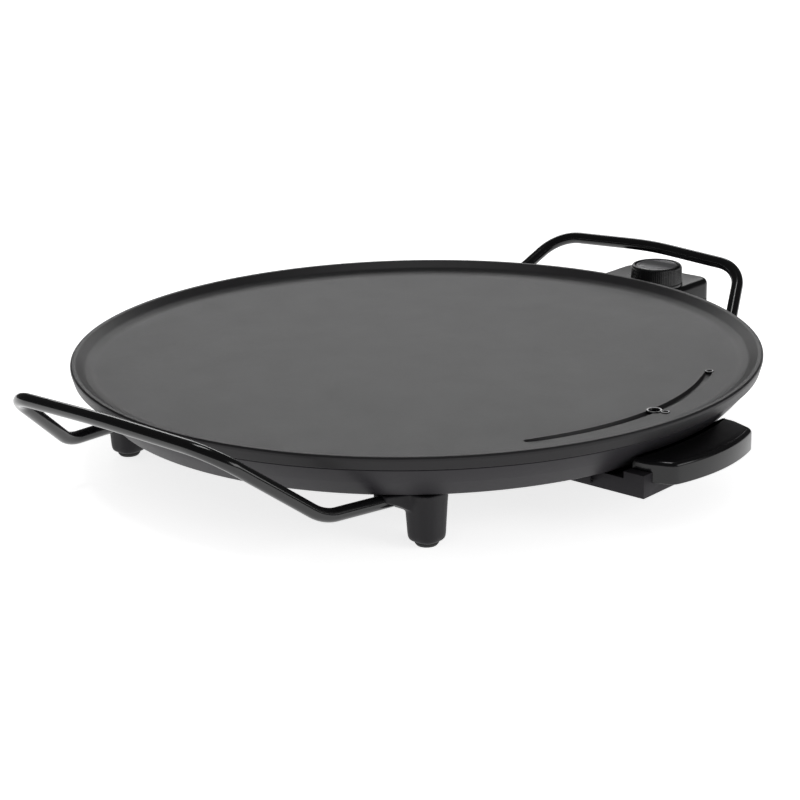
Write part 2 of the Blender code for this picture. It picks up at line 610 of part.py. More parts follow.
def build_thermostat():
    """Plug-in thermostat: two half shells, switch, lamp, cord inlet and screws."""
    top = thermostat_half("controller_top_shell", BOX_SPLIT + GAP, 0.070)
    bottom = thermostat_half("controller_bottom_shell", 0.020, BOX_SPLIT)
    drill(top, "knob_shaft_hole", (KNOB_X, KNOB_Y, 0.050), (KNOB_X, KNOB_Y, 0.065), 0.0035)
    drill(top, "lamp_hole", (0.300, LAMP_Y, LAMP_Z), (0.320, LAMP_Y, LAMP_Z), 0.0034)
    cone("pilot_lamp_lens", (0.3055, LAMP_Y, LAMP_Z), (0.3102, LAMP_Y, LAMP_Z), 0.0030,
         0.0024, LAMP, 12)
    drill(bottom, "cord_hole", (0.300, INLET_Y, INLET_Z), (0.320, INLET_Y, INLET_Z), 0.0056,
          16)
    bushing = cone("cord_inlet_bushing", (0.3040, INLET_Y, INLET_Z),
                   (INLET_REACH, INLET_Y, INLET_Z), 0.0052, 0.0046, RUBBER)
    drill(bushing, "cord_bore", (0.300, INLET_Y, INLET_Z), (0.320, INLET_Y, INLET_Z), 0.0034,
          16)
    x = CASE_SCREW_X
    for name, y in CASE_SCREW_Y.items():
        drill(bottom, "case_hole_" + name, (x, y, 0.025), (x, y, 0.035), 0.0019)
        post = cone("case_post_" + name, (x, y, BOX_SPLIT + GAP), (x, y, BOX_TOP - 0.0012),
                    0.0035, sides=12, cutter=True)
        boolean(top, post, "UNION")
        drill(top, "case_bore_" + name, (x, y, 0.040), (x, y, 0.0530), 0.0019)
        screw("controller_screw_" + name, (x, y, BOX_BOTTOM - GAP), (0, 0, 1), 0.0200, 0.0030,
              0.0015)
    box("thermostat_switch", (0.2560, -0.0300, 0.0405), (0.2760, -0.0080, 0.0540), CERAMIC)


def build_knob():
    """Rotary knob with a recessed dial disc, on its shaft."""
    place = (KNOB_X, KNOB_Y)
    base = BOX_TOP + GAP
    turned("knob", [
        (0.0, KNOB_TOP - 0.0012), (0.0163, KNOB_TOP - 0.0012), (0.0166, KNOB_TOP),
        (0.0187, KNOB_TOP), (KNOB_RADIUS, KNOB_TOP - 0.0012), (KNOB_RADIUS + 0.0006, base),
        (0.0034, base), (0.0034, 0.0690), (0.0, 0.0690)], GLOSS, place, 32)
    turned("knob_insert", [
        (0.0, KNOB_TOP - 0.0003), (0.0158, KNOB_TOP - 0.0003), (0.0158, KNOB_TOP - 0.0009),
        (0.0, KNOB_TOP - 0.0009)], DIAL, place, 32)
    cone("knob_shaft", (*place, 0.0543), (*place, 0.0687), 0.0030, material=ZINC, sides=12)


build_plate()
build_heating()
build_housing()
build_feet()
build_handles()
build_chute()
build_rails()
build_tray()
build_grip()
build_shroud()
build_contacts()
build_thermostat()
build_knob()
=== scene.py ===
"""Finished looks for the electric griddle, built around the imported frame.

Sizes are in metres. Shapes are laid out about the plate's own upright axis, and
`as_piece` moves each finished mesh to its place in the frame.
"""

import logging
import math
from collections.abc import Callable, Iterable, Sequence
from dataclasses import dataclass, field
from enum import Enum

import bmesh
import bpy
from mathutils import Matrix, Vector


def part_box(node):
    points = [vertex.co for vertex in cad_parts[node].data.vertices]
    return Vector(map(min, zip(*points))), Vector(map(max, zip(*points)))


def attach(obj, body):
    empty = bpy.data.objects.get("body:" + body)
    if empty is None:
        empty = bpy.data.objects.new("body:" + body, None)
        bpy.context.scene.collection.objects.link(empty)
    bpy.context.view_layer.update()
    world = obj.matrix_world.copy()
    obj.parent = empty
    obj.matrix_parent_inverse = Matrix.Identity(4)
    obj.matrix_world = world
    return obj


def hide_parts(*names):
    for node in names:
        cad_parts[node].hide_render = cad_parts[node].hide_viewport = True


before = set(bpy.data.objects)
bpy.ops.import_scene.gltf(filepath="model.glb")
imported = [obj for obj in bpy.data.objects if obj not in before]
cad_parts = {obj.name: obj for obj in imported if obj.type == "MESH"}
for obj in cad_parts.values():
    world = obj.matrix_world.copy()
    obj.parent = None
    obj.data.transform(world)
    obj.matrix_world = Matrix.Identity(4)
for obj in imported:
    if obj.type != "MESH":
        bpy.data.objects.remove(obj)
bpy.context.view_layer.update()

LOG = logging.getLogger("griddle")

Profile = list[tuple[float, float]]
Corner = tuple[float, float, float]
Levels = list[tuple[float, float]]

PLATE_LOW, PLATE_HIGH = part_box("griddle_plate")
AXIS = Vector(((PLATE_LOW.x + PLATE_HIGH.x) / 2, (PLATE_LOW.y + PLATE_HIGH.y) / 2, 0.0))
GROOVE_RADIUS = 0.2055
DRAIN_X = -0.0045
DRAIN = Vector((DRAIN_X, -math.sqrt(GROOVE_RADIUS ** 2 - DRAIN_X ** 2), 0.0))
KNOB_CENTRE = Vector((0.2648, -0.0190, 0.0))
SMOOTH_LIMIT = math.radians(38.0)
FOOT_SMOOTH_LIMIT = math.radians(60.0)
FLAT_LIMIT = math.radians(1.0)
EDGE_LIMIT = math.radians(35.0)
WELD_DISTANCE = 1e-5
TINY = 1e-7
BELOW_FLOOR = 0.030


class Body(Enum):
    """The moving bodies of the frame."""

    BASE = "base"
    TRAY = "tray"
    THERMOSTAT = "thermostat"
    DIAL = "dial"


class Pattern(Enum):
    """The shader group that makes the fine surface of a finish."""

    GRAIN = "moulded_grain"
    BRUSHED = "brushed_lines"
    SPUN = "spun_lines"


# ---- shader node groups --------------------------------------------------------------------
class NodeTreeBuilder:
    """What the makers of shader groups and of geometry trees share."""

    def __init__(self, name: str, kind: str) -> None:
        """Starts a node tree that has only its group input.

        Args:
            name: Name of the tree.
            kind: Type of the tree.
        """
        self.tree = bpy.data.node_groups.new(name, kind)
        self.entry = self.tree.nodes.new("NodeGroupInput")

    def takes(self, name: str, kind: str, default: object = None) -> None:
        """Adds an input socket.

        Args:
            name: Name of the socket.
            kind: Socket type without its prefix, such as Float.
            default: Value that it has when nothing is given.
        """
        socket = self.tree.interface.new_socket(name, in_out="INPUT",
                                                socket_type="NodeSocket" + kind)
        if default is not None:
            socket.default_value = default

    def join(self, value: object, socket: bpy.types.NodeSocket) -> None:
        """Links a socket to an input, or gives the input a plain value.

        Args:
            value: A socket or a value.
            socket: The input.
        """
        if isinstance(value, bpy.types.NodeSocket):
            self.tree.links.new(value, socket)
        else:
            socket.default_value = value


class GroupBuilder(NodeTreeBuilder):
    """Makes one shader node group with named sockets."""

    def __init__(self, name: str) -> None:
        """Starts a group with an input and an output node.

        Args:
            name: Name of the node group.
        """
        super().__init__(name, "ShaderNodeTree")
        self.exit = self.tree.nodes.new("NodeGroupOutput")

    def gives(self, name: str, kind: str) -> None:
        """Adds an output socket."""
        self.tree.interface.new_socket(name, in_out="OUTPUT", socket_type="NodeSocket" + kind)

    def node(self, kind: str, **values: object) -> bpy.types.Node:
        """Adds a node and sets its properties.

        Args:
            kind: Node type without its prefix.
            **values: Node properties by name.

        Returns:
            The new node.
        """
        made = self.tree.nodes.new("ShaderNode" + kind)
        for key, value in values.items():
            setattr(made, key, value)
        return made

    def link(self, start: bpy.types.NodeSocket, end: bpy.types.NodeSocket) -> None:
        """Joins two sockets."""
        self.tree.links.new(start, end)

    def maths(self, operation: str, first: object, second: object) -> bpy.types.NodeSocket:
        """Adds a Math node.

        Args:
            operation: What it works out.
            first: A socket or a number.
            second: A socket or a number.

        Returns:
            Its output socket.
        """
        made = self.node("Math", operation=operation)
        for socket, value in zip(made.inputs, (first, second)):
            self.join(value, socket)
        return made.outputs[0]

    def noise(self, vector: bpy.types.NodeSocket, scale: object, detail: float = 2.0,
              rough: float = 0.5) -> bpy.types.NodeSocket:
        """Adds a noise texture.

        Args:
            vector: Where the noise is read.
            scale: A socket or a number of features a metre.
            detail: Octaves of finer noise.
            rough: Share of the finer noise.

        Returns:
            The noise value.
        """
        made = self.node("TexNoise")
        made.inputs["Detail"].default_value = detail
        made.inputs["Roughness"].default_value = rough
        self.link(vector, made.inputs["Vector"])
        self.join(scale, made.inputs["Scale"])
        return made.outputs["Fac"]


def tone_drift_group() -> bpy.types.NodeTree:
    """Builds the group that lets a colour wander between two tones.

    Returns:
        The node group.
    """
    g = GroupBuilder("tone_drift")
    g.takes("Vector", "Vector")
    g.takes("Light", "Color")
    g.takes("Dark", "Color")
    g.takes("Cloud Scale", "Float", 18.0)
    g.takes("Fleck Scale", "Float", 2600.0)
    g.takes("Flecks", "Float", 0.25)
    g.gives("Color", "Color")
    place = g.entry.outputs["Vector"]
    cloud = g.noise(place, g.entry.outputs["Cloud Scale"], 3.0)
    fleck = g.noise(place, g.entry.outputs["Fleck Scale"], 1.0)
    strong = g.maths("MULTIPLY", g.maths("SUBTRACT", fleck, 0.5), g.entry.outputs["Flecks"])
    amount = g.maths("ADD", cloud, g.maths("MULTIPLY", strong, 4.0))
    mix = g.node("Mix", data_type="RGBA", clamp_factor=True)
    g.link(amount, mix.inputs[0])
    g.link(g.entry.outputs["Dark"], mix.inputs[6])
    g.link(g.entry.outputs["Light"], mix.inputs[7])
    g.link(mix.outputs[2], g.exit.inputs["Color"])
    return g.tree


def handling_marks_group() -> bpy.types.NodeTree:
    """Builds the group that varies roughness with smudges and rub marks.

    Returns:
        The node group.
    """
    g = GroupBuilder("handling_marks")
    g.takes("Vector", "Vector")
    g.takes("Level", "Float", 0.4)
    g.takes("Spread", "Float", 0.1)
    g.takes("Smudge Scale", "Float", 35.0)
    g.gives("Roughness", "Float")
    place = g.entry.outputs["Vector"]
    smudge = g.noise(place, g.entry.outputs["Smudge Scale"], 4.0, 0.6)
    rub = g.noise(place, 420.0, 2.0)
    both = g.maths("ADD", g.maths("SUBTRACT", smudge, 0.5),
                   g.maths("MULTIPLY", g.maths("SUBTRACT", rub, 0.5), 0.5))
    spread = g.maths("MULTIPLY", both, g.maths("MULTIPLY", g.entry.outputs["Spread"], 2.0))
    total = g.node("Math", operation="ADD", use_clamp=True)
    g.link(spread, total.inputs[0])
    g.link(g.entry.outputs["Level"], total.inputs[1])
    g.link(total.outputs[0], g.exit.inputs["Roughness"])
    return g.tree


def moulded_grain_group() -> bpy.types.NodeTree:
    """Builds the group for the fine relief of a moulded or sprayed surface.

    Returns:
        The node group.
    """
    g = GroupBuilder("moulded_grain")
    g.takes("Vector", "Vector")
    g.takes("Scale", "Float", 2200.0)
    g.takes("Pitting", "Float", 0.3)
    g.gives("Height", "Float")
    place = g.entry.outputs["Vector"]
    scale = g.entry.outputs["Scale"]
    fine = g.noise(place, scale, 2.0, 0.55)
    pits = g.node("TexVoronoi", feature="SMOOTH_F1")
    g.link(place, pits.inputs["Vector"])
    g.link(g.maths("MULTIPLY", scale, 0.45), pits.inputs["Scale"])
    share = g.maths("MULTIPLY", pits.outputs["Distance"], g.entry.outputs["Pitting"])
    g.link(g.maths("ADD", fine, share), g.exit.inputs["Height"])
    return g.tree


def brushed_lines_group() -> bpy.types.NodeTree:
    """Builds the group for straight brush lines along X.

    Returns:
        The node group.
    """
    g = GroupBuilder("brushed_lines")
    g.takes("Vector", "Vector")
    g.takes("Scale", "Float", 1400.0)
    g.takes("Stretch", "Float", 0.04)
    g.gives("Height", "Float")
    squeeze = g.node("CombineXYZ")
    squeeze.inputs["Y"].default_value = 1.0
    squeeze.inputs["Z"].default_value = 1.0
    g.link(g.entry.outputs["Stretch"], squeeze.inputs["X"])
    product = g.node("VectorMath", operation="MULTIPLY")
    g.link(g.entry.outputs["Vector"], product.inputs[0])
    g.link(squeeze.outputs[0], product.inputs[1])
    g.link(g.noise(product.outputs[0], g.entry.outputs["Scale"], 3.0, 0.6),
           g.exit.inputs["Height"])
    return g.tree


def spun_lines_group() -> bpy.types.NodeTree:
    """Builds the group for rings left by turning about the Z axis of its vector.

    Returns:
        The node group.
    """
    g = GroupBuilder("spun_lines")
    g.takes("Vector", "Vector")
    g.takes("Scale", "Float", 1800.0)
    g.gives("Height", "Float")
    flat = g.node("VectorMath", operation="MULTIPLY")
    flat.inputs[1].default_value = (1.0, 1.0, 0.0)
    g.link(g.entry.outputs["Vector"], flat.inputs[0])
    reach = g.node("VectorMath", operation="LENGTH")
    g.link(flat.outputs[0], reach.inputs[0])
    line = g.node("CombineXYZ")
    g.link(reach.outputs["Value"], line.inputs["X"])
    g.link(g.noise(line.outputs[0], g.entry.outputs["Scale"], 3.0, 0.7),
           g.exit.inputs["Height"])
    return g.tree


class Effects:
    """The shared shader groups, each built once when it is first asked for."""

    makers: dict[str, Callable[[], bpy.types.NodeTree]] = {
        "tone_drift": tone_drift_group,
        "handling_marks": handling_marks_group,
        "moulded_grain": moulded_grain_group,
        "brushed_lines": brushed_lines_group,
        "spun_lines": spun_lines_group,
    }
    made: dict[str, bpy.types.NodeTree] = {}

    @classmethod
    def get(cls, name: str) -> bpy.types.NodeTree:
        """Finds or builds a group.

        Args:
            name: Name of the effect.

        Returns:
            The node group.
        """
        if name not in cls.made:
            cls.made[name] = cls.makers[name]()
        return cls.made[name]


# ---- finishes ------------------------------------------------------------------------------
@dataclass(frozen=True)
class Finish:
    """One finish: two close tones, a gloss that wanders, and a fine relief."""

    name: str
    slot: str
    light: tuple[float, float, float]
    dark: tuple[float, float, float]
    roughness: float
    spread: float
    pattern: Pattern = Pattern.GRAIN
    metallic: float = 0.0
    grain_scale: float = 2200.0
    pitting: float = 0.3
    relief: float = 0.00002
    cloud_scale: float = 18.0
    flecks: float = 0.1
    coat: float = 0.0
    coat_roughness: float = 0.05
    specular: float = 0.5
    transmission: float = 0.0
    glow: float = 0.0
    centre: tuple[float, float, float] = (0.0, 0.0, 0.0)

    def material(self) -> bpy.types.Material:
        """Finds or builds the material."""
        found = bpy.data.materials.get(self.name)
        return found if found is not None else self.build()

    def build(self) -> bpy.types.Material:
        """Builds the node tree of the material.

        Returns:
            The new material.
        """
        material = bpy.data.materials.new(self.name)
        material.use_nodes = True
        tree = material.node_tree
        shader = tree.nodes["Principled BSDF"]
        self.set_even_values(shader)
        where = tree.nodes.new("ShaderNodeTexCoord")
        mapping = tree.nodes.new("ShaderNodeMapping")
        mapping.inputs["Location"].default_value = [-c for c in self.centre]
        tree.links.new(where.outputs["Object"], mapping.inputs["Vector"])
        place = mapping.outputs["Vector"]
        tone = self.effect(tree, place, "tone_drift", {
            "Light": (*self.light, 1.0), "Dark": (*self.dark, 1.0),
            "Cloud Scale": self.cloud_scale, "Flecks": self.flecks})
        tree.links.new(tone.outputs["Color"], shader.inputs["Base Color"])
        marks = self.effect(tree, place, "handling_marks",
                            {"Level": self.roughness, "Spread": self.spread})
        tree.links.new(marks.outputs["Roughness"], shader.inputs["Roughness"])
        values = {"Scale": self.grain_scale}
        if self.pattern is Pattern.GRAIN:
            values["Pitting"] = self.pitting
        relief = self.effect(tree, place, self.pattern.value, values)
        bump = tree.nodes.new("ShaderNodeBump")
        bump.inputs["Distance"].default_value = self.relief
        bump.inputs["Strength"].default_value = 1.0
        tree.links.new(relief.outputs["Height"], bump.inputs["Height"])
        tree.links.new(bump.outputs["Normal"], shader.inputs["Normal"])
        return material

    def set_even_values(self, shader: bpy.types.Node) -> None:
        """Sets what is the same all over the surface on the shader's own sockets.

        Args:
            shader: The Principled BSDF node.
        """
        shader.inputs["Metallic"].default_value = self.metallic
        shader.inputs["Coat Weight"].default_value = self.coat
        shader.inputs["Coat Roughness"].default_value = self.coat_roughness
        shader.inputs["Specular IOR Level"].default_value = self.specular
        shader.inputs["Transmission Weight"].default_value = self.transmission
        if self.glow > 0.0:
            shader.inputs["Emission Color"].default_value = (*self.light, 1.0)
            shader.inputs["Emission Strength"].default_value = self.glow

    @staticmethod
    def effect(tree: bpy.types.NodeTree, place: bpy.types.NodeSocket, name: str,
               values: dict[str, object]) -> bpy.types.Node:
        """Places a shared effect in the material.

        Args:
            tree: The material's node tree.
            place: The socket that gives the place on the piece.
            name: Name of the effect.
            values: The effect's inputs by name.

        Returns:
            The group node.
        """
        made = tree.nodes.new("ShaderNodeGroup")
        made.node_tree = Effects.get(name)
        tree.links.new(place, made.inputs["Vector"])
        for key, value in values.items():
            made.inputs[key].default_value = value
        return made


NON_STICK = Finish("non_stick_finish", "non_stick_coating", (0.0205, 0.0196, 0.0212),
                   (0.0165, 0.0158, 0.0170), 0.40, 0.03, grain_scale=2400.0, pitting=0.5,
                   relief=0.00005, flecks=0.30, cloud_scale=9.0, specular=0.22)
EYELET = Finish("eyelet_gloss", "non_stick_coating", (0.008, 0.008, 0.009),
                (0.005, 0.005, 0.0055), 0.16, 0.06, grain_scale=1400.0, relief=0.00001,
                flecks=0.05, coat=0.2)
SATIN = Finish("housing_satin", "housing_plastic", (0.0270, 0.0254, 0.0286),
               (0.0210, 0.0198, 0.0223), 0.40, 0.04, grain_scale=3200.0, relief=0.000015,
               flecks=0.08, specular=0.12)
LEG_SATIN = Finish("leg_satin", "housing_plastic", (0.0200, 0.0188, 0.0212),
                   (0.0145, 0.0138, 0.0155), 0.44, 0.05, grain_scale=2600.0, relief=0.00003,
                   flecks=0.10, specular=0.20)
ENAMEL = Finish("rod_enamel", "gloss_enamel", (0.0042, 0.0042, 0.0047),
                (0.0030, 0.0030, 0.0034), 0.17, 0.05, grain_scale=320.0, pitting=0.2,
                relief=0.000012, flecks=0.02, coat=0.3)
GLOSS = Finish("grip_gloss", "gloss_plastic", (0.0045, 0.0045, 0.0050),
               (0.0032, 0.0032, 0.0036), 0.20, 0.05, grain_scale=420.0, pitting=0.2,
               relief=0.000010, flecks=0.03, coat=0.10, coat_roughness=0.08, specular=0.38)
CASE_GLOSS = Finish("case_gloss", "gloss_plastic", (0.0075, 0.0075, 0.0082),
                    (0.0055, 0.0055, 0.0060), 0.30, 0.05, grain_scale=420.0, pitting=0.2,
                    relief=0.000010, flecks=0.03, specular=0.16)
KNOB_GLOSS = Finish("knob_satin", "gloss_plastic", (0.0075, 0.0075, 0.0082),
                    (0.0055, 0.0055, 0.0060), 0.28, 0.06, grain_scale=2600.0,
                    relief=0.000008, flecks=0.05)
RUBBER = Finish("pad_rubber", "rubber_pad", (0.022, 0.022, 0.022), (0.014, 0.014, 0.014),
                0.78, 0.08, grain_scale=1800.0, relief=0.00005, flecks=0.3)
ZINC = Finish("zinc_plate", "zinc_screw", (0.62, 0.62, 0.60), (0.48, 0.48, 0.47), 0.32, 0.10,
              metallic=1.0, grain_scale=5200.0, relief=0.000006, cloud_scale=220.0)
SHEET = Finish("drawn_sheet", "reflector_sheet", (0.72, 0.73, 0.74), (0.60, 0.61, 0.62),
               0.28, 0.10, pattern=Pattern.BRUSHED, metallic=1.0, grain_scale=1500.0,
               relief=0.000008, cloud_scale=40.0)
SHEATH = Finish("heated_sheath", "element_sheath", (0.24, 0.21, 0.19), (0.10, 0.085, 0.080),
                0.50, 0.14, metallic=1.0, grain_scale=2600.0, relief=0.00002,
                cloud_scale=70.0, flecks=0.3)
CERAMIC = Finish("fired_insulator", "insulator", (0.58, 0.55, 0.49), (0.48, 0.45, 0.39),
                 0.55, 0.10, grain_scale=2200.0, relief=0.00004, cloud_scale=120.0,
                 flecks=0.3)
BRASS = Finish("sleeve_brass", "contact_brass", (0.74, 0.54, 0.23), (0.58, 0.40, 0.16),
               0.30, 0.12, metallic=1.0, grain_scale=3000.0, relief=0.000006,
               cloud_scale=260.0)
LENS = Finish("lamp_amber", "lamp_lens", (0.85, 0.20, 0.05), (0.66, 0.12, 0.03), 0.10, 0.04,
              grain_scale=900.0, relief=0.00001, transmission=0.35, glow=0.15,
              cloud_scale=260.0)
DIAL = Finish("dial_spun", "dial_grey", (0.180, 0.180, 0.188), (0.140, 0.140, 0.147),
              0.34, 0.06, pattern=Pattern.SPUN, metallic=0.3, grain_scale=2600.0,
              relief=0.000012, flecks=0.10, centre=tuple(AXIS + KNOB_CENTRE))
MARK = Finish("dial_mark", "dial_grey", (0.60, 0.60, 0.60), (0.50, 0.50, 0.50), 0.45, 0.05,
              grain_scale=2600.0, flecks=0.05)
CARRIED = {finish.slot: finish for finish in (
    NON_STICK, SATIN, ENAMEL, GLOSS, RUBBER, ZINC, SHEET, SHEATH, CERAMIC, BRASS, LENS, DIAL)}


# ---- outlines and profiles -----------------------------------------------------------------
def rounded_profile(corners: Sequence[Corner], steps: int) -> Profile:
    """Rounds the corners of a profile.

    Args:
        corners: Distance from the axis, height and rounding radius of each corner.
        steps: Straight pieces in each arc.

    Returns:
        The points of the rounded profile.
    """
    points: Profile = []
    last = len(corners) - 1
    for i, (r, z, radius) in enumerate(corners):
        if radius <= 0.0 or i in (0, last):
            points.append((r, z))
            continue
        here = Vector((r, z))
        into = Vector(corners[i - 1][:2]) - here
        out = Vector(corners[i + 1][:2]) - here
        half = into.angle(out) / 2
        reach = min(radius / math.tan(half), into.length * 0.48, out.length * 0.48)
        start, end = into.normalized() * reach, out.normalized() * reach
        for k in range(steps + 1):
            t = k / steps
            bend = start * (1 - t) ** 2 + end * t ** 2
            points.append(tuple(here + bend))
    return points


def trimmed(run: Sequence[Vector], start: float, end: float) -> list[Vector]:
    """Cuts a length off both ends of a line of points.

    Args:
        run: The points.
        start: Length cut off the first end.
        end: Length cut off the last end.

    Returns:
        The points that are left.
    """
    def cut(points: list[Vector], length: float) -> list[Vector]:
        """Cuts a length off the front of the points."""
        left = length
        while len(points) > 2 and (points[1] - points[0]).length <= left:
            left -= (points[1] - points[0]).length
            points = points[1:]
        step = points[1] - points[0]
        return [points[0] + step * min(left / max(step.length, TINY), 0.98)] + points[1:]

    kept = cut(list(run), start)
    return cut(kept[::-1], end)[::-1]


def joined_outline(runs: Sequence[Sequence[Vector]], reaches: Sequence[float],
                   steps: int) -> list[Vector]:
    """Joins lines of points into a closed outline with rounded meetings.

    Args:
        runs: The lines, each ending where the next one starts.
        reaches: How far the rounding reaches at the end of each line.
        steps: Straight pieces in each rounding.

    Returns:
        The closed outline, without a repeated point.
    """
    outline: list[Vector] = []
    cut = [trimmed(run, reaches[i - 1], reaches[i]) for i, run in enumerate(runs)]
    for i, run in enumerate(cut):
        outline.extend(run)
        corner = Vector(runs[i][-1])
        onward = cut[(i + 1) % len(cut)][0]
        for k in range(1, steps):
            t = k / steps
            outline.append(run[-1] * (1 - t) ** 2 + corner * (2 * t * (1 - t))
                           + onward * t ** 2)
    return outline


def rounded_rectangle(low: tuple[float, float], high: tuple[float, float], radius: float,
                      steps: int = 8) -> list[Vector]:
    """Makes the outline of a rectangle with round corners.

    Args:
        low: Lowest corner.
        high: Highest corner.
        radius: Radius of the corners.
        steps: Straight pieces in each corner.

    Returns:
        The outline, anticlockwise.
    """
    corners = ((high[0] - radius, high[1] - radius), (low[0] + radius, high[1] - radius),
               (low[0] + radius, low[1] + radius), (high[0] - radius, low[1] + radius))
    outline = []
    for quarter, (x, y) in enumerate(corners):
        for i in range(steps + 1):
            angle = math.pi / 2 * (quarter + i / steps)
            outline.append(Vector((x + radius * math.cos(angle),
                                   y + radius * math.sin(angle))))
    return outline


def rounded_levels(low: float, high: float, low_round: float, high_round: float,
                   steps: int) -> Levels:
    """Lists the heights and insets of a block with rounded lower and upper edges.

    Args:
        low: Lowest height.
        high: Highest height.
        low_round: Radius of the lower edge.
        high_round: Radius of the upper edge.
        steps: Straight pieces in each edge.

    Returns:
        Height and inset of each level, from the lowest up.
    """
    quarter = [math.pi / 2 * k / steps for k in range(steps + 1)]
    lower = [(low + low_round * (1 - math.cos(a)), low_round * (1 - math.sin(a)))
             for a in quarter]
    upper = [(high - high_round * (1 - math.sin(a)), high_round * (1 - math.cos(a)))
             for a in quarter]
    return lower + upper


def superellipse(half: float, power: float, count: int) -> list[Vector]:
    """Makes a rounded square outline about the origin.

    Args:
        half: Half the width across the flats.
        power: Squareness, 2 for a circle.
        count: Number of points.

    Returns:
        The outline, anticlockwise.
    """
    outline = []
    for i in range(count):
        a = 2 * math.pi * i / count
        c, s = math.cos(a), math.sin(a)
        outline.append(Vector((math.copysign(abs(c) ** (2 / power), c),
                               math.copysign(abs(s) ** (2 / power), s))) * half)
    return outline


# ---- mesh making ---------------------------------------------------------------------------
def linked(name: str, data: bpy.types.ID) -> bpy.types.Object:
    """Makes an object from its data and links it to the scene.

    Args:
        name: Name of the object.
        data: Its mesh, curve, light or camera.

    Returns:
        The new object.
    """
    made = bpy.data.objects.new(name, data)
    bpy.context.scene.collection.objects.link(made)
    return made


def evaluated_mesh(piece: bpy.types.Object) -> bpy.types.Mesh:
    """Makes a plain mesh of a piece as its modifiers leave it.

    Args:
        piece: The piece.

    Returns:
        The new mesh.
    """
    bpy.context.view_layer.update()
    graph = bpy.context.evaluated_depsgraph_get()
    return bpy.data.meshes.new_from_object(piece.evaluated_get(graph))


def as_piece(name: str, bm: bmesh.types.BMesh, place: bool = True) -> bpy.types.Object:
    """Turns a bmesh into an object whose place is in its mesh.

    Args:
        name: Name of the piece.
        bm: The shape, about the plate's axis; it is freed.
        place: Whether the mesh is moved to the plate's place in the frame.

    Returns:
        The new object.
    """
    bmesh.ops.recalc_face_normals(bm, faces=bm.faces)
    mesh = bpy.data.meshes.new(name)
    bm.to_mesh(mesh)
    bm.free()
    if place:
        mesh.transform(Matrix.Translation(AXIS))
    shade(mesh)
    return linked(name, mesh)


def shade(mesh: bpy.types.Mesh, limit: float = SMOOTH_LIMIT) -> None:
    """Smooths the shading everywhere but at sharp edges."""
    mesh.shade_smooth()
    mesh.set_sharp_from_angle(angle=limit)


def stitch(bm: bmesh.types.BMesh, rings: Sequence[Sequence[bmesh.types.BMVert]],
           closed: bool = False) -> None:
    """Joins rings of vertices by faces; a ring of one vertex is a pole.

    Args:
        bm: The mesh that holds the rings.
        rings: The rings in order.
        closed: Whether the last ring joins the first.
    """
    pairs = list(zip(rings, rings[1:])) + ([(rings[-1], rings[0])] if closed else [])
    for low, high in pairs:
        count = max(len(low), len(high))
        for k in range(count):
            n = (k + 1) % count
            corners = ([low[0], high[k], high[n]] if len(low) == 1 else
                       [low[k], low[n], high[0]] if len(high) == 1 else
                       [low[k], low[n], high[n], high[k]])
            bm.faces.new(corners)


def above(place: Vector, height: float) -> Vector:
    """Finds the point at a height over a place on the table."""
    return place + Vector((0.0, 0.0, height))


def loft(bm: bmesh.types.BMesh, rings: Sequence[Sequence[bmesh.types.BMVert]]) -> None:
    """Joins rings of vertices into a solid with flat ends."""
    stitch(bm, rings)
    bm.faces.new(rings[0][::-1])
    bm.faces.new(rings[-1])


def turned(name: str, profile: Profile, centre: Vector = Vector((0.0, 0.0, 0.0)),
           sides: int = 64, closed: bool = False, turn: Matrix | None = None,
           place: bool = True) -> bpy.types.Object:
    """Makes a solid of revolution about an upright axis.

    Args:
        name: Name of the piece.
        profile: Distance from the axis and height of each point.
        centre: Where the axis stands.
        sides: Number of sides.
        closed: Whether the profile is a loop that doesn't meet the axis.
        turn: A turn given to the shape before it is put at its centre.
        place: Whether the mesh is moved to the plate's place in the frame.

    Returns:
        The new object.
    """
    bm = bmesh.new()
    rings = []
    for r, z in profile:
        if r < TINY:
            rings.append([bm.verts.new((0.0, 0.0, z))])
            continue
        rings.append([bm.verts.new((r * math.cos(2 * math.pi * k / sides),
                                    r * math.sin(2 * math.pi * k / sides), z))
                      for k in range(sides)])
    stitch(bm, rings, closed)
    if turn is not None:
        bm.transform(turn)
    bm.transform(Matrix.Translation(centre))
    return as_piece(name, bm, place)


def inset_outline(outline: Sequence[Vector], inset: float) -> list[Vector]:
    """Moves an anticlockwise outline inwards.

    Args:
        outline: The points.
        inset: How far each side moves.

    Returns:
        The moved points.
    """
    moved = []
    for i, here in enumerate(outline):
        a = (here - outline[i - 1]).normalized()
        b = (outline[(i + 1) % len(outline)] - here).normalized()
        normal = Vector((-(a.y + b.y), a.x + b.x)).normalized()
        lean = max(normal.dot(Vector((-a.y, a.x))), 0.5)
        moved.append(here + normal * (inset / lean))
    return moved


def block(name: str, outline: Sequence[Vector], levels: Levels,
          place: bool = True) -> bpy.types.Object:
    """Makes a block from an outline whose edges are rounded over several levels.

    Args:
        name: Name of the piece.
        outline: Plan of the block, anticlockwise.
        levels: Height and inset of each level, from the lowest up.
        place: Whether the mesh is moved to the plate's place in the frame.

    Returns:
        The new object.
    """
    bm = bmesh.new()
    rings = [[bm.verts.new((p.x, p.y, z)) for p in inset_outline(outline, inset)]
             for z, inset in levels]
    loft(bm, rings)
    bmesh.ops.remove_doubles(bm, verts=bm.verts, dist=TINY)
    return as_piece(name, bm, place)


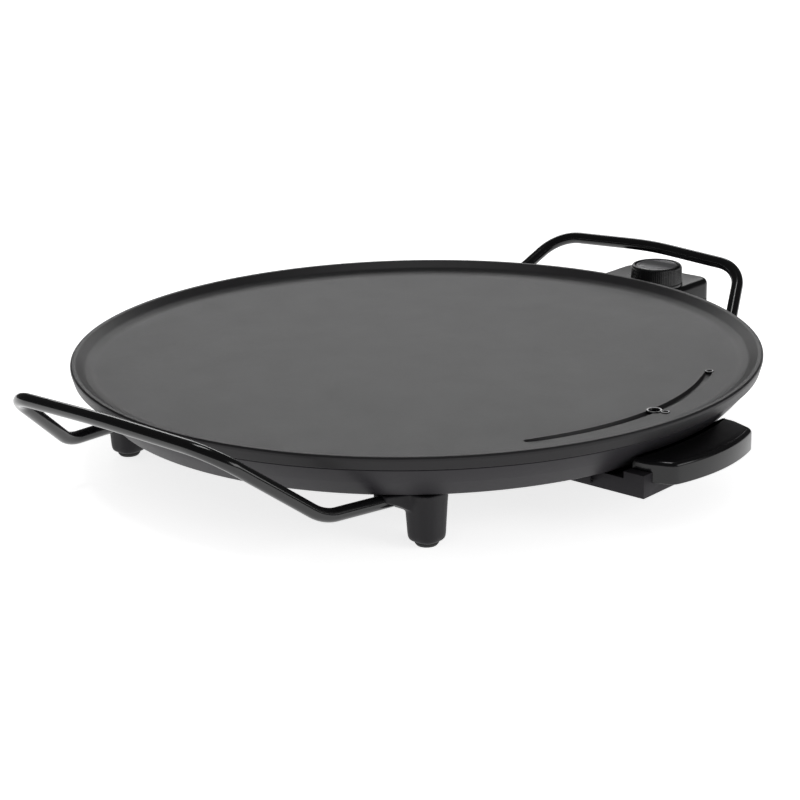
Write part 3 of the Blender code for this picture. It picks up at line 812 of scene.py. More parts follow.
def cuboid(name: str, low: Sequence[float], high: Sequence[float]) -> bpy.types.Object:
    """Makes a plain box that is only used to cut.

    Args:
        name: Name of the tool.
        low: Lowest corner.
        high: Highest corner.

    Returns:
        The new object.
    """
    bm = bmesh.new()
    bmesh.ops.create_cube(bm, size=1.0)
    size = Vector(high) - Vector(low)
    bm.transform(Matrix.Translation((Vector(low) + Vector(high)) / 2)
                 @ Matrix.Diagonal((*size, 1.0)))
    return as_piece(name, bm)


def drill(start: Sequence[float], end: Sequence[float], radius: float,
          sides: int = 32) -> bpy.types.Object:
    """Makes a round tool that is only used to cut or to join.

    Args:
        start: Centre of its first end.
        end: Centre of its other end.
        radius: Its radius.
        sides: Number of sides.

    Returns:
        The new object.
    """
    run = Vector(end) - Vector(start)
    bm = bmesh.new()
    bmesh.ops.create_cone(bm, cap_ends=True, segments=sides, radius1=radius,
                          radius2=radius, depth=run.length)
    turn = run.to_track_quat("Z", "Y").to_matrix().to_4x4()
    bm.transform(Matrix.Translation((Vector(start) + Vector(end)) / 2) @ turn)
    return as_piece("tool", bm)


def applied(piece: bpy.types.Object, limit: float = SMOOTH_LIMIT) -> bpy.types.Object:
    """Turns a piece with modifiers into its plain mesh.

    Args:
        piece: The piece, whose modifiers are removed.
        limit: Sharpest angle between faces that still looks smooth.

    Returns:
        The same piece.
    """
    mesh = evaluated_mesh(piece)
    piece.modifiers.clear()
    piece.data = mesh
    mesh.name = piece.name
    shade(mesh, limit)
    return piece


def combine(piece: bpy.types.Object, tools: Iterable[bpy.types.Object],
            operation: str = "DIFFERENCE") -> bpy.types.Object:
    """Cuts tools out of a piece or joins them to it, and throws the tools away.

    Args:
        piece: The piece that is changed.
        tools: The tools; those of one call don't overlap.
        operation: DIFFERENCE or UNION.

    Returns:
        The same piece.
    """
    tools = list(tools)
    joined = bmesh.new()
    for tool in tools:
        joined.from_mesh(tool.data)
    tool = as_piece("tools", joined, place=False)
    change = piece.modifiers.new("combine", "BOOLEAN")
    change.operation = operation
    change.solver = "EXACT"
    change.object = tool
    applied(piece)
    for used in [*tools, tool]:
        bpy.data.objects.remove(used)
    return piece


def softened_copy(name: str, node: str, width: float) -> bpy.types.Object:
    """Copies a frame node with its doubles merged and its hard edges rounded.

    Args:
        name: Name of the new piece.
        node: Name of the node.
        width: Width of the rounding.

    Returns:
        The new piece.
    """
    bm = bmesh.new()
    bm.from_mesh(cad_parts[node].data)
    bmesh.ops.remove_doubles(bm, verts=bm.verts, dist=WELD_DISTANCE)
    bmesh.ops.dissolve_limit(bm, angle_limit=FLAT_LIMIT, verts=bm.verts, edges=bm.edges)
    made = as_piece(name, bm, place=False)
    rounding = made.modifiers.new("rounding", "BEVEL")
    rounding.width = width
    rounding.segments = 3
    rounding.limit_method = "ANGLE"
    rounding.angle_limit = EDGE_LIMIT
    return applied(made)


# ---- geometry node trees -------------------------------------------------------------------
class TreeBuilder(NodeTreeBuilder):
    """Makes one Geometry Nodes tree that ends in Realize Instances and Set Material."""

    def __init__(self, name: str) -> None:
        """Starts a tree that takes a geometry and a material.

        Args:
            name: Name of the tree.
        """
        super().__init__(name, "GeometryNodeTree")
        self.tree.is_modifier = True
        self.takes("Geometry", "Geometry")
        self.takes("Material", "Material")

    def node(self, kind: str, **inputs: object) -> bpy.types.Node:
        """Adds a node and links or sets its inputs by name.

        Args:
            kind: Node type without its prefix.
            **inputs: Sockets or values, with underscores for the spaces in their names.

        Returns:
            The new node.
        """
        made = self.tree.nodes.new(kind)
        for key, value in inputs.items():
            self.join(value, made.inputs[key.replace("_", " ")])
        return made

    def given(self, name: str) -> bpy.types.NodeSocket:
        """Finds the socket of a named input."""
        return self.entry.outputs[name]

    def attribute(self, name: str, kind: str) -> bpy.types.NodeSocket:
        """Reads a named attribute of the geometry.

        Args:
            name: Name of the attribute.
            kind: Its data type.

        Returns:
            The socket with its value.
        """
        made = self.tree.nodes.new("GeometryNodeInputNamedAttribute")
        made.data_type = kind
        made.inputs["Name"].default_value = name
        return made.outputs["Attribute"]

    def finish(self, shape: bpy.types.NodeSocket) -> bpy.types.NodeTree:
        """Ends the tree.

        Args:
            shape: The geometry that the tree makes.

        Returns:
            The finished tree.
        """
        self.tree.interface.new_socket("Geometry", in_out="OUTPUT",
                                       socket_type="NodeSocketGeometry")
        real = self.node("GeometryNodeRealizeInstances", Geometry=shape)
        dressed = self.node("GeometryNodeSetMaterial", Geometry=real.outputs["Geometry"],
                            Material=self.given("Material"))
        leave = self.tree.nodes.new("NodeGroupOutput")
        self.tree.links.new(dressed.outputs["Geometry"], leave.inputs[0])
        return self.tree


def swept_rod_tree() -> bpy.types.NodeTree:
    """Builds the tree that sweeps a round section along the curve it is given.

    Returns:
        The tree.
    """
    t = TreeBuilder("swept_rod")
    t.takes("Radius", "Float", 0.004)
    t.takes("Sides", "Int", 24)
    section = t.node("GeometryNodeCurvePrimitiveCircle", Resolution=t.given("Sides"),
                     Radius=t.given("Radius"))
    tube = t.node("GeometryNodeCurveToMesh", Curve=t.given("Geometry"),
                  Profile_Curve=section.outputs["Curve"], Fill_Caps=True)
    return t.finish(tube.outputs["Mesh"])


def fastener_tree() -> bpy.types.NodeTree:
    """Builds the tree that puts a screw on every point, turned and sized by attributes.

    Returns:
        The tree.
    """
    t = TreeBuilder("fasteners")
    t.takes("Head", "Object")
    t.takes("Shank", "Object")
    turn = t.attribute("turn", "FLOAT_VECTOR")
    made = []
    for part in ("Head", "Shank"):
        shape = t.node("GeometryNodeObjectInfo", Object=t.given(part))
        size = t.attribute(part.lower() + "_size", "FLOAT_VECTOR")
        made.append(t.node("GeometryNodeInstanceOnPoints", Points=t.given("Geometry"),
                           Instance=shape.outputs["Geometry"], Rotation=turn, Scale=size))
    both = t.tree.nodes.new("GeometryNodeJoinGeometry")
    for item in made:
        t.tree.links.new(item.outputs["Instances"], both.inputs["Geometry"])
    return t.finish(both.outputs["Geometry"])


def ring_tree() -> bpy.types.NodeTree:
    """Builds the tree that repeats one shape evenly about an upright axis.

    Returns:
        The tree.
    """
    t = TreeBuilder("ring_of_ribs")
    t.takes("Rib", "Object")
    t.takes("Count", "Int", 12)
    t.takes("Radius", "Float", 0.02)
    t.takes("Centre", "Vector")
    circle = t.node("GeometryNodeMeshCircle", Vertices=t.given("Count"),
                    Radius=t.given("Radius"))
    where = t.tree.nodes.new("GeometryNodeInputPosition")
    face = t.tree.nodes.new("FunctionNodeAlignRotationToVector")
    face.axis = "X"
    face.pivot_axis = "Z"
    t.tree.links.new(where.outputs["Position"], face.inputs["Vector"])
    shape = t.node("GeometryNodeObjectInfo", Object=t.given("Rib"))
    ribs = t.node("GeometryNodeInstanceOnPoints", Points=circle.outputs["Mesh"],
                  Instance=shape.outputs["Geometry"], Rotation=face.outputs["Rotation"])
    moved = t.node("GeometryNodeTransform", Geometry=ribs.outputs["Instances"],
                   Translation=t.given("Centre"))
    both = t.tree.nodes.new("GeometryNodeJoinGeometry")
    t.tree.links.new(t.given("Geometry"), both.inputs["Geometry"])
    t.tree.links.new(moved.outputs["Geometry"], both.inputs["Geometry"])
    return t.finish(both.outputs["Geometry"])


class Trees:
    """The shared Geometry Nodes trees, each built once when it is first asked for."""

    makers: dict[str, Callable[[], bpy.types.NodeTree]] = {
        "swept_rod": swept_rod_tree, "fasteners": fastener_tree, "ring_of_ribs": ring_tree}
    made: dict[str, bpy.types.NodeTree] = {}

    @classmethod
    def run(cls, name: str, base: bpy.types.Object, piece: str,
            values: dict[str, object]) -> bpy.types.Object:
        """Runs a tree on an object and keeps the result as a plain mesh.

        Args:
            name: Name of the tree.
            base: The object that the tree works on; it is thrown away.
            piece: Name of the new piece.
            values: The tree's inputs by name.

        Returns:
            The new piece.
        """
        if name not in cls.made:
            cls.made[name] = cls.makers[name]()
        tree = cls.made[name]
        modifier = base.modifiers.new("tree", "NODES")
        modifier.node_group = tree
        for item in tree.interface.items_tree:
            if item.in_out == "INPUT" and item.name in values:
                modifier[item.identifier] = values[item.name]
        mesh = evaluated_mesh(base)
        mesh.name = piece
        shade(mesh)
        bpy.data.objects.remove(base)
        return linked(piece, mesh)


def swept(name: str, points: Sequence[Vector], radius: float, sides: int,
          finish: Finish) -> bpy.types.Object:
    """Sweeps a round rod along points.

    Args:
        name: Name of the piece.
        points: The centre line, about the plate's axis.
        radius: Radius of the rod.
        sides: Sides of its section.
        finish: What it is finished in.

    Returns:
        The new piece.
    """
    curve = bpy.data.curves.new(name + "_line", "CURVE")
    curve.dimensions = "3D"
    line = curve.splines.new("POLY")
    line.points.add(len(points) - 1)
    for slot, point in zip(line.points, points):
        slot.co = (*(point + AXIS), 1.0)
    return Trees.run("swept_rod", linked(name + "_line", curve), name,
                     {"Radius": radius, "Sides": sides, "Material": finish.material()})


# ---- sub-assemblies ------------------------------------------------------------------------
class Assembly:
    """What every sub-assembly shares: handing its finished pieces to the frame."""

    body: Body = Body.BASE

    def deliver(self, piece: bpy.types.Object, finish: Finish, *nodes: str,
                body: Body | None = None) -> bpy.types.Object:
        """Dresses a piece, lets it ride on its body and hides the frame nodes it stands for.

        Args:
            piece: The finished mesh.
            finish: What it is finished in.
            *nodes: The frame nodes that it replaces.
            body: The body that it rides on, if not the assembly's own.

        Returns:
            The same piece.
        """
        piece.data.materials.clear()
        piece.data.materials.append(finish.material())
        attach(piece, (body or self.body).value)
        if nodes:
            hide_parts(*nodes)
        LOG.info("%s: %d faces in %s", piece.name, len(piece.data.polygons), finish.name)
        return piece


@dataclass
class CookingPlate(Assembly):
    """The cast plate with its raised lip, grease groove, drain and screw posts."""

    surface: float = 0.0635
    underside: float = 0.0595
    radius: float = 0.240
    groove_start: float = -119.5
    groove_end: float = -65.0
    groove_half: float = 0.0029
    groove_depth: float = 0.0023
    taper: float = 0.016
    posts: tuple[tuple[float, float], ...] = (
        (-0.090, -0.155), (-0.090, 0.155), (0.090, -0.155), (0.090, 0.155))
    post_low: float = 0.0388
    post_radius: float = 0.0050
    bosses: tuple[float, ...] = (50.0, 130.0, 230.0, 310.0)
    boss_circle: float = 0.114
    boss_low: float = 0.0520
    boss_radius: float = 0.0045
    sunk: float = 0.0010
    bore: float = 0.0022
    bore_top: float = 0.0545
    drain_bore: float = 0.0042
    drain_reach: tuple[float, float] = (0.050, 0.070)
    band: tuple[float, float] = (0.1990, 0.2090)
    band_steps: int = 44

    def build(self) -> None:
        """Builds and hands over the plate, the drain's eyelet and the small fittings."""
        plate = self.casting()
        root = self.underside + self.sunk
        posts = [drill((x, y, self.post_low), (x, y, root), self.post_radius)
                 for x, y in self.posts]
        for angle in self.bosses:
            x = self.boss_circle * math.cos(math.radians(angle))
            y = self.boss_circle * math.sin(math.radians(angle))
            posts.append(drill((x, y, self.boss_low), (x, y, root), self.boss_radius))
        combine(plate, posts, "UNION")
        holes = [drill((x, y, BELOW_FLOOR), (x, y, self.bore_top), self.bore, sides=20)
                 for x, y in self.posts]
        low, high = self.drain_reach
        holes.append(drill(above(DRAIN, low), above(DRAIN, high), self.drain_bore, sides=40))
        combine(plate, holes)
        self.deliver(plate, NON_STICK, "griddle_plate")
        self.deliver(self.eyelet(), EYELET)
        far = math.radians(self.groove_end + 0.35)
        for name, centre, outer in (
                ("groove_stop", DRAIN + Vector((0.0015, -0.0074, 0.0)), 0.0031),
                ("groove_end_ring", Vector((math.cos(far), math.sin(far), 0.0))
                 * GROOVE_RADIUS, 0.0032)):
            self.deliver(self.small_ring(name, centre, outer), EYELET)

    def section(self) -> Profile:
        """Lists the plate's section from the middle of the top to the middle below.

        Returns:
            The profile points.
        """
        top: Profile = [(0.0, self.surface)]
        top += [(r, self.surface) for r in (0.030, 0.070, 0.110, 0.145, 0.172, 0.188, 0.1965)]
        inner, outer = self.band
        top += [(inner + (outer - inner) * i / self.band_steps, self.surface)
                for i in range(self.band_steps + 1)]
        top += [(0.2125, self.surface), (0.2170, self.surface)]
        wall = rounded_profile([
            (0.2170, self.surface, 0.0), (0.2245, self.surface, 0.016),
            (0.2300, 0.0654, 0.010), (0.2364, 0.06985, 0.0022), (0.2376, 0.0700, 0.0006),
            (0.2391, 0.0700, 0.0010), (0.2400, 0.0690, 0.0012), (0.2400, 0.0674, 0.0008),
            (0.2383, 0.0613, 0.0005), (0.2352, 0.0613, 0.0005), (0.2305, 0.0595, 0.003),
            (0.2200, self.underside, 0.0)], 7)
        below = [(r, self.underside) for r in (0.2000, 0.1500, 0.0900, 0.0)]
        return top + wall[1:] + below

    def angles(self) -> list[float]:
        """Lists the directions of the plate's spokes, finer along the groove.

        Returns:
            The angles in radians.
        """
        first, last = self.groove_start - 2.5, self.groove_end + 2.5
        fine, coarse = 0.28, 1.2
        count = round((last - first) / fine)
        made = [first + (last - first) * i / count for i in range(count)]
        rest = 360.0 - (last - first)
        count = round(rest / coarse)
        made += [last + rest * i / count for i in range(count)]
        return [math.radians(a) for a in made]

    def sink(self, r: float, angle: float) -> float:
        """Finds how deep the groove and its dimple are below the surface.

        Args:
            r: Distance from the axis.
            angle: Direction, in radians.

        Returns:
            The depth.
        """
        degrees = math.degrees(angle)
        degrees = degrees if degrees < 180.0 else degrees - 360.0
        along = max(self.groove_start - degrees, degrees - self.groove_end)
        past = math.radians(along) * GROOVE_RADIUS
        inside = min(max(-past / self.taper, 0.0), 1.0)
        ease = 0.45 + 0.55 * inside * inside * (3 - 2 * inside)
        off = math.hypot(r - GROOVE_RADIUS, max(past, 0.0))
        share = off / (self.groove_half * (0.80 + 0.20 * ease))
        depth = 0.0
        if share < 1.0:
            depth = self.groove_depth * ease * (1 - share ** 5) ** 0.8
        crest = math.exp(-((share - 1.18) / 0.16) ** 2) if past < 0.004 else 0.0
        return depth - 0.00009 * crest

    def casting(self) -> bpy.types.Object:
        """Builds the plate as a polar grid whose top is sunk along the groove.

        Returns:
            The new piece.
        """
        bm = bmesh.new()
        spokes = self.angles()
        rings = []
        inner, outer = self.band
        for r, z in self.section():
            if r < TINY:
                rings.append([bm.verts.new((0.0, 0.0, z))])
                continue
            grooved = inner - TINY < r < outer + TINY and abs(z - self.surface) < TINY
            rings.append([bm.verts.new((r * math.cos(a), r * math.sin(a),
                                        z - (self.sink(r, a) if grooved else 0.0)))
                          for a in spokes])
        stitch(bm, rings)
        return as_piece("griddle_plate_cast", bm)

    def eyelet(self) -> bpy.types.Object:
        """Builds the rolled eyelet that lines the drain."""
        profile = rounded_profile([
            (0.0034, 0.0600, 0.0), (0.0034, 0.0632, 0.0004), (0.0037, 0.0641, 0.0005),
            (0.0050, 0.0642, 0.0006), (0.0056, 0.0637, 0.0003), (0.0056, 0.0631, 0.0002),
            (0.0041, 0.0626, 0.0002), (0.0041, 0.0600, 0.0)], 5)
        return turned("drain_eyelet", profile, DRAIN, 56, closed=True)

    def small_ring(self, name: str, centre: Vector, outer: float) -> bpy.types.Object:
        """Builds one of the small raised rings beside the groove.

        Args:
            name: Name of the ring.
            centre: Where it stands.
            outer: Its outer radius.

        Returns:
            The new piece.
        """
        top = self.surface + 0.0005
        profile = rounded_profile([
            (0.0, 0.0615, 0.0), (outer, 0.0615, 0.0), (outer, top, 0.0006),
            (outer * 0.62, top, 0.0004), (outer * 0.52, self.surface - 0.0003, 0.0003),
            (0.0, self.surface - 0.0004, 0.0)], 5)
        return turned(name, profile, centre, 40)


@dataclass
class HousingShell(Assembly):
    """The tapered base shell with its vents, plug window and blank panel."""

    vents: int = 12
    vent_reach: tuple[float, float] = (0.040, 0.072)
    vent_half: float = 0.0015
    floor: float = 0.0365
    floor_top: float = 0.0405
    rings: tuple[tuple[float, float], ...] = (
        (0.1870, 0.1830), (0.1080, 0.1050), (0.0300, 0.0260))
    ring_slope: float = 0.0004
    ring_depth: float = 0.0005
    drain_bore: float = 0.0068
    screw_bore: float = 0.0023
    plug_low: tuple[float, float, float] = (0.200, -0.0278, 0.0389)
    plug_high: tuple[float, float, float] = (0.250, 0.0278, 0.0583)
    panel_low: tuple[float, float] = (-0.034, 0.118)
    panel_high: tuple[float, float] = (0.034, 0.158)
    panel_depth: float = 0.0004
    sides: int = 320

    def build(self) -> None:
        """Builds and hands over the shell."""
        corners = [
            (0.0, 0.0385, 0.0), (0.2126, 0.0385, 0.0030), (0.2152, 0.0404, 0.0030),
            (0.2347, 0.0606, 0.0004), (0.2352, 0.0609, 0.0003), (0.2364, 0.0609, 0.0005),
            (0.2370, 0.0603, 0.0008), (0.2270, 0.0490, 0.030), (0.2164, 0.0378, 0.0022),
            (0.2136, self.floor, 0.0022)]
        for outer, inner in self.rings:
            raised = self.floor + self.ring_depth
            corners += [(outer, self.floor, 0.0004), (outer - self.ring_slope, raised, 0.0003),
                        (inner + self.ring_slope, raised, 0.0003), (inner, self.floor, 0.0004)]
        corners.append((0.0, self.floor, 0.0))
        profile = rounded_profile(corners, 4)
        shell = turned("base_shell", profile, sides=self.sides)
        tools = [self.vent(i) for i in range(self.vents)]
        tools.append(drill(above(DRAIN, BELOW_FLOOR), above(DRAIN, self.floor_top),
                           self.drain_bore))
        tools += [drill((x, y, BELOW_FLOOR), (x, y, self.floor_top), self.screw_bore,
                        sides=20) for x, y in CookingPlate.posts]
        tools.append(cuboid("plug_window", self.plug_low, self.plug_high))
        combine(shell, tools)
        combine(shell, [self.panel()])
        self.deliver(shell, SATIN, "base_housing")

    def vent(self, index: int) -> bpy.types.Object:
        """Makes the tool for one round-ended vent.

        Args:
            index: Which vent it is.

        Returns:
            The tool.
        """
        turn = Matrix.Rotation(2 * math.pi * (index + 0.5) / self.vents, 4, "Z")
        inner, outer = self.vent_reach
        outline = rounded_rectangle((inner, -self.vent_half), (outer, self.vent_half),
                                    0.00148, 5)
        tool = block("vent", outline, [(BELOW_FLOOR, 0.0), (self.floor_top, 0.0)],
                     place=False)
        tool.data.transform(Matrix.Translation(AXIS) @ turn)
        return tool

    def panel(self) -> bpy.types.Object:
        """Makes the tool for the shallow blank panel under the floor."""
        outline = rounded_rectangle(self.panel_low, self.panel_high, 0.004, 5)
        return block("panel", outline,
                     [(BELOW_FLOOR, 0.0), (self.floor + self.panel_depth, 0.0)])


@dataclass
class Feet(Assembly):
    """Four tapered feet, each with a socket arm for a handle and a soft pad."""

    places: dict[str, tuple[int, int]] = field(default_factory=lambda: {
        "front_left": (-1, -1), "front_right": (1, -1),
        "rear_left": (-1, 1), "rear_right": (1, 1)})
    x: float = 0.150
    y: float = 0.137
    voxel: float = 0.00075
    squareness: float = 2.9
    arm_top: float = 0.0361
    rings: tuple[tuple[float, float], ...] = (
        (0.0035, 0.0090), (0.0040, 0.0098), (0.0050, 0.0104), (0.0070, 0.0108),
        (0.0160, 0.0113), (0.0260, 0.0119), (0.0330, 0.0124), (0.0362, 0.0128))

    def build(self) -> None:
        """Builds and hands over the feet and their pads."""
        for name, (side, end) in self.places.items():
            foot = self.foot(name, side, end)
            self.deliver(foot, LEG_SATIN, "foot_" + name)
            self.deliver(self.pad(name, side, end), RUBBER, "foot_pad_" + name)

    def foot(self, name: str, side: int, end: int) -> bpy.types.Object:
        """Builds one foot: a leg and its arm, grown together and smoothed.

        Args:
            name: Which foot it is.
            side: -1 on the left, 1 on the right.
            end: -1 in front, 1 behind.

        Returns:
            The new piece.
        """
        bm = bmesh.new()
        rings = [[bm.verts.new((p.x, p.y, z)) for p in superellipse(half, self.squareness, 48)]
                 for z, half in self.rings]
        loft(bm, rings)
        self.arm(bm)
        bm.transform(Matrix.Translation((side * self.x, end * self.y, 0.0))
                     @ Matrix.Diagonal((side, end, 1.0, 1.0)))
        foot = as_piece("leg_" + name, bm)
        grown = foot.modifiers.new("grown", "REMESH")
        grown.mode = "VOXEL"
        grown.voxel_size = self.voxel
        eased = foot.modifiers.new("eased", "SMOOTH")
        eased.factor = 0.5
        eased.iterations = 7
        return applied(foot, FOOT_SMOOTH_LIMIT)

    def arm(self, bm: bmesh.types.BMesh) -> None:
        """Adds the arm that holds the handle's end, beside a leg at the origin.

        Args:
            bm: The mesh of the leg.
        """
        corners = []
        for x, low, inner, outer in ((-0.0090, 0.0225, -0.0200, -0.0010),
                                     (0.0100, 0.0235, -0.0205, -0.0010),
                                     (0.0185, 0.0290, -0.0213, -0.0050),
                                     (0.0255, 0.0318, -0.0214, -0.0100)):
            corners.append([bm.verts.new(c) for c in (
                (x, inner, low), (x, outer, low), (x, outer, self.arm_top),
                (x, inner, self.arm_top))])
        loft(bm, corners)

    def pad(self, name: str, side: int, end: int) -> bpy.types.Object:
        """Builds one pad: a ribbed disc with a stem.

        Args:
            name: Which foot it is.
            side: -1 on the left, 1 on the right.
            end: -1 in front, 1 behind.

        Returns:
            The new piece.
        """
        profile = rounded_profile([
            (0.0, 0.0140, 0.0), (0.0038, 0.0140, 0.0006), (0.0038, 0.0034, 0.0003),
            (0.0076, 0.0034, 0.0004), (0.0078, 0.0018, 0.0010), (0.0064, 0.0, 0.0010),
            (0.0052, 0.0, 0.0002), (0.0048, 0.0006, 0.0002), (0.0040, 0.0006, 0.0002),
            (0.0036, 0.0, 0.0002), (0.0022, 0.0, 0.0002), (0.0018, 0.0006, 0.0002),
            (0.0, 0.0006, 0.0)], 4)
        return turned("pad_" + name, profile, Vector((side * self.x, end * self.y, 0.0)), 48)


@dataclass
class Handles(Assembly):
    """The two bent rods, each bowed out at its grip."""

    radius: float = 0.0045
    end: tuple[float, float, float] = (0.1535, 0.1240, 0.0300)
    bends: dict[int, tuple[float, float, float]] = field(default_factory=lambda: {
        -1: (0.2200, 0.1165, 0.0338), 1: (0.2165, 0.1146, 0.0336)})
    corners: dict[int, tuple[float, float, float]] = field(default_factory=lambda: {
        -1: (0.2860, 0.0900, 0.0866), 1: (0.2792, 0.0864, 0.0808)})
    bow: float = 0.0060
    radii: tuple[float, ...] = (0.030, 0.030, 0.250, 0.030, 0.030)
    arc_steps: int = 16
    sides: int = 32

    def build(self) -> None:
        """Builds and hands over both handles."""
        for name, side in (("left", -1), ("right", 1)):
            rod = swept("rod_handle_" + name, self.route(side), self.radius, self.sides,
                        ENAMEL)
            self.deliver(rod, ENAMEL, "handle_" + name)

    def route(self, side: int) -> list[Vector]:
        """Lists the centre line of a handle from its front foot to its rear one.

        Args:
            side: -1 on the left, 1 on the right.

        Returns:
            The points.
        """
        end = Vector(self.end)
        bend, corner = Vector(self.bends[side]), Vector(self.corners[side])
        rise = corner - bend
        rise.y = 0.0
        middle = Vector((corner.x, 0.0, corner.z)) + rise.normalized() * self.bow
        half = [end, bend, corner]
        corners = [Vector((p.x, -p.y, p.z)) for p in half] + [middle] + half[::-1]
        route = [corners[0]]
        for before, here, after, radius in zip(corners, corners[1:], corners[2:],
                                               self.radii):
            into, out = (before - here).normalized(), (after - here).normalized()
            opening = into.angle(out) / 2
            centre = here + (into + out).normalized() * (radius / math.sin(opening))
            reach = radius / math.tan(opening)
            first, last = here + into * reach - centre, here + out * reach - centre
            for i in range(self.arc_steps + 1):
                arm = first.slerp(last, i / self.arc_steps).normalized()
                route.append(centre + arm * radius)
        route.append(corners[-1])
        return [Vector((side * p.x, p.y, p.z)) for p in route]


@dataclass
class GreaseTray(Assembly):
    """The drawer, the rails it runs on, and the glossy grip in front."""

    body: Body = Body.TRAY
    half: float = 0.044
    corner_y: float = -0.2490
    middle_y: float = -0.2562
    wing: tuple[float, float] = (0.0510, -0.2310)
    back_radius: float = 0.2268
    low: float = 0.0335
    high: float = 0.0480
    corner_reach: float = 0.0040
    wing_reach: float = 0.0040
    back_reach: float = 0.0016
    arc_steps: int = 28
    step_low: tuple[float, float, float] = (-0.060, -0.2358, 0.030)
    step_high: tuple[float, float, float] = (0.060, -0.200, 0.0409)
    screw_x: float = 0.025
    screw_y: tuple[float, float] = (-0.2445, -0.230)
    screw_z: float = 0.0365
    screw_bore: float = 0.0018

    def build(self) -> None:
        """Builds and hands over the drawer, the rails and the grip."""
        drawer = softened_copy("tray_drawer", "grease_tray", 0.0006)
        self.deliver(drawer, SATIN, "grease_tray")
        for side in ("left", "right"):
            rail = softened_copy("rail_" + side, "tray_rail_" + side, 0.0004)
            self.deliver(rail, SATIN, "tray_rail_" + side, body=Body.BASE)
        self.deliver(self.grip(), GLOSS, "tray_front")

    def outline(self) -> list[Vector]:
        """Lists the plan of the grip: a bowed front and a back that follows the base.

        Returns:
            The outline, anticlockwise.
        """
        sag = self.corner_y - self.middle_y
        bow = (self.half ** 2 + sag ** 2) / (2 * sag)
        spread = math.asin(self.half / bow)
        count = self.arc_steps
        front = [Vector((bow * math.sin(t), self.middle_y + bow - bow * math.cos(t)))
                 for t in (spread * (2 * i / count - 1) for i in range(count + 1))]
        reach = math.asin(self.wing[0] / self.back_radius)
        back = [Vector((self.back_radius * math.sin(t), -self.back_radius * math.cos(t)))
                for t in (reach * (1 - 2 * i / count) for i in range(count + 1))]
        right, left = Vector(self.wing), Vector((-self.wing[0], self.wing[1]))
        runs = [front, [front[-1], right], [right, back[0]], back, [back[-1], left],
                [left, front[0]]]
        half = [self.corner_reach, self.wing_reach, self.back_reach]
        return joined_outline(runs, half + half[::-1], 8)

    def grip(self) -> bpy.types.Object:
        """Builds the grip, stepped over the drawer's front wall.

        Returns:
            The new piece.
        """
        grip = block("tray_grip", self.outline(),
                     rounded_levels(self.low, self.high, 0.0010, 0.0030, 7))
        combine(grip, [cuboid("step", self.step_low, self.step_high)])
        front, back = self.screw_y
        bores = [drill((x, front, self.screw_z), (x, back, self.screw_z), self.screw_bore,
                       sides=20) for x in (-self.screw_x, self.screw_x)]
        return combine(grip, bores)


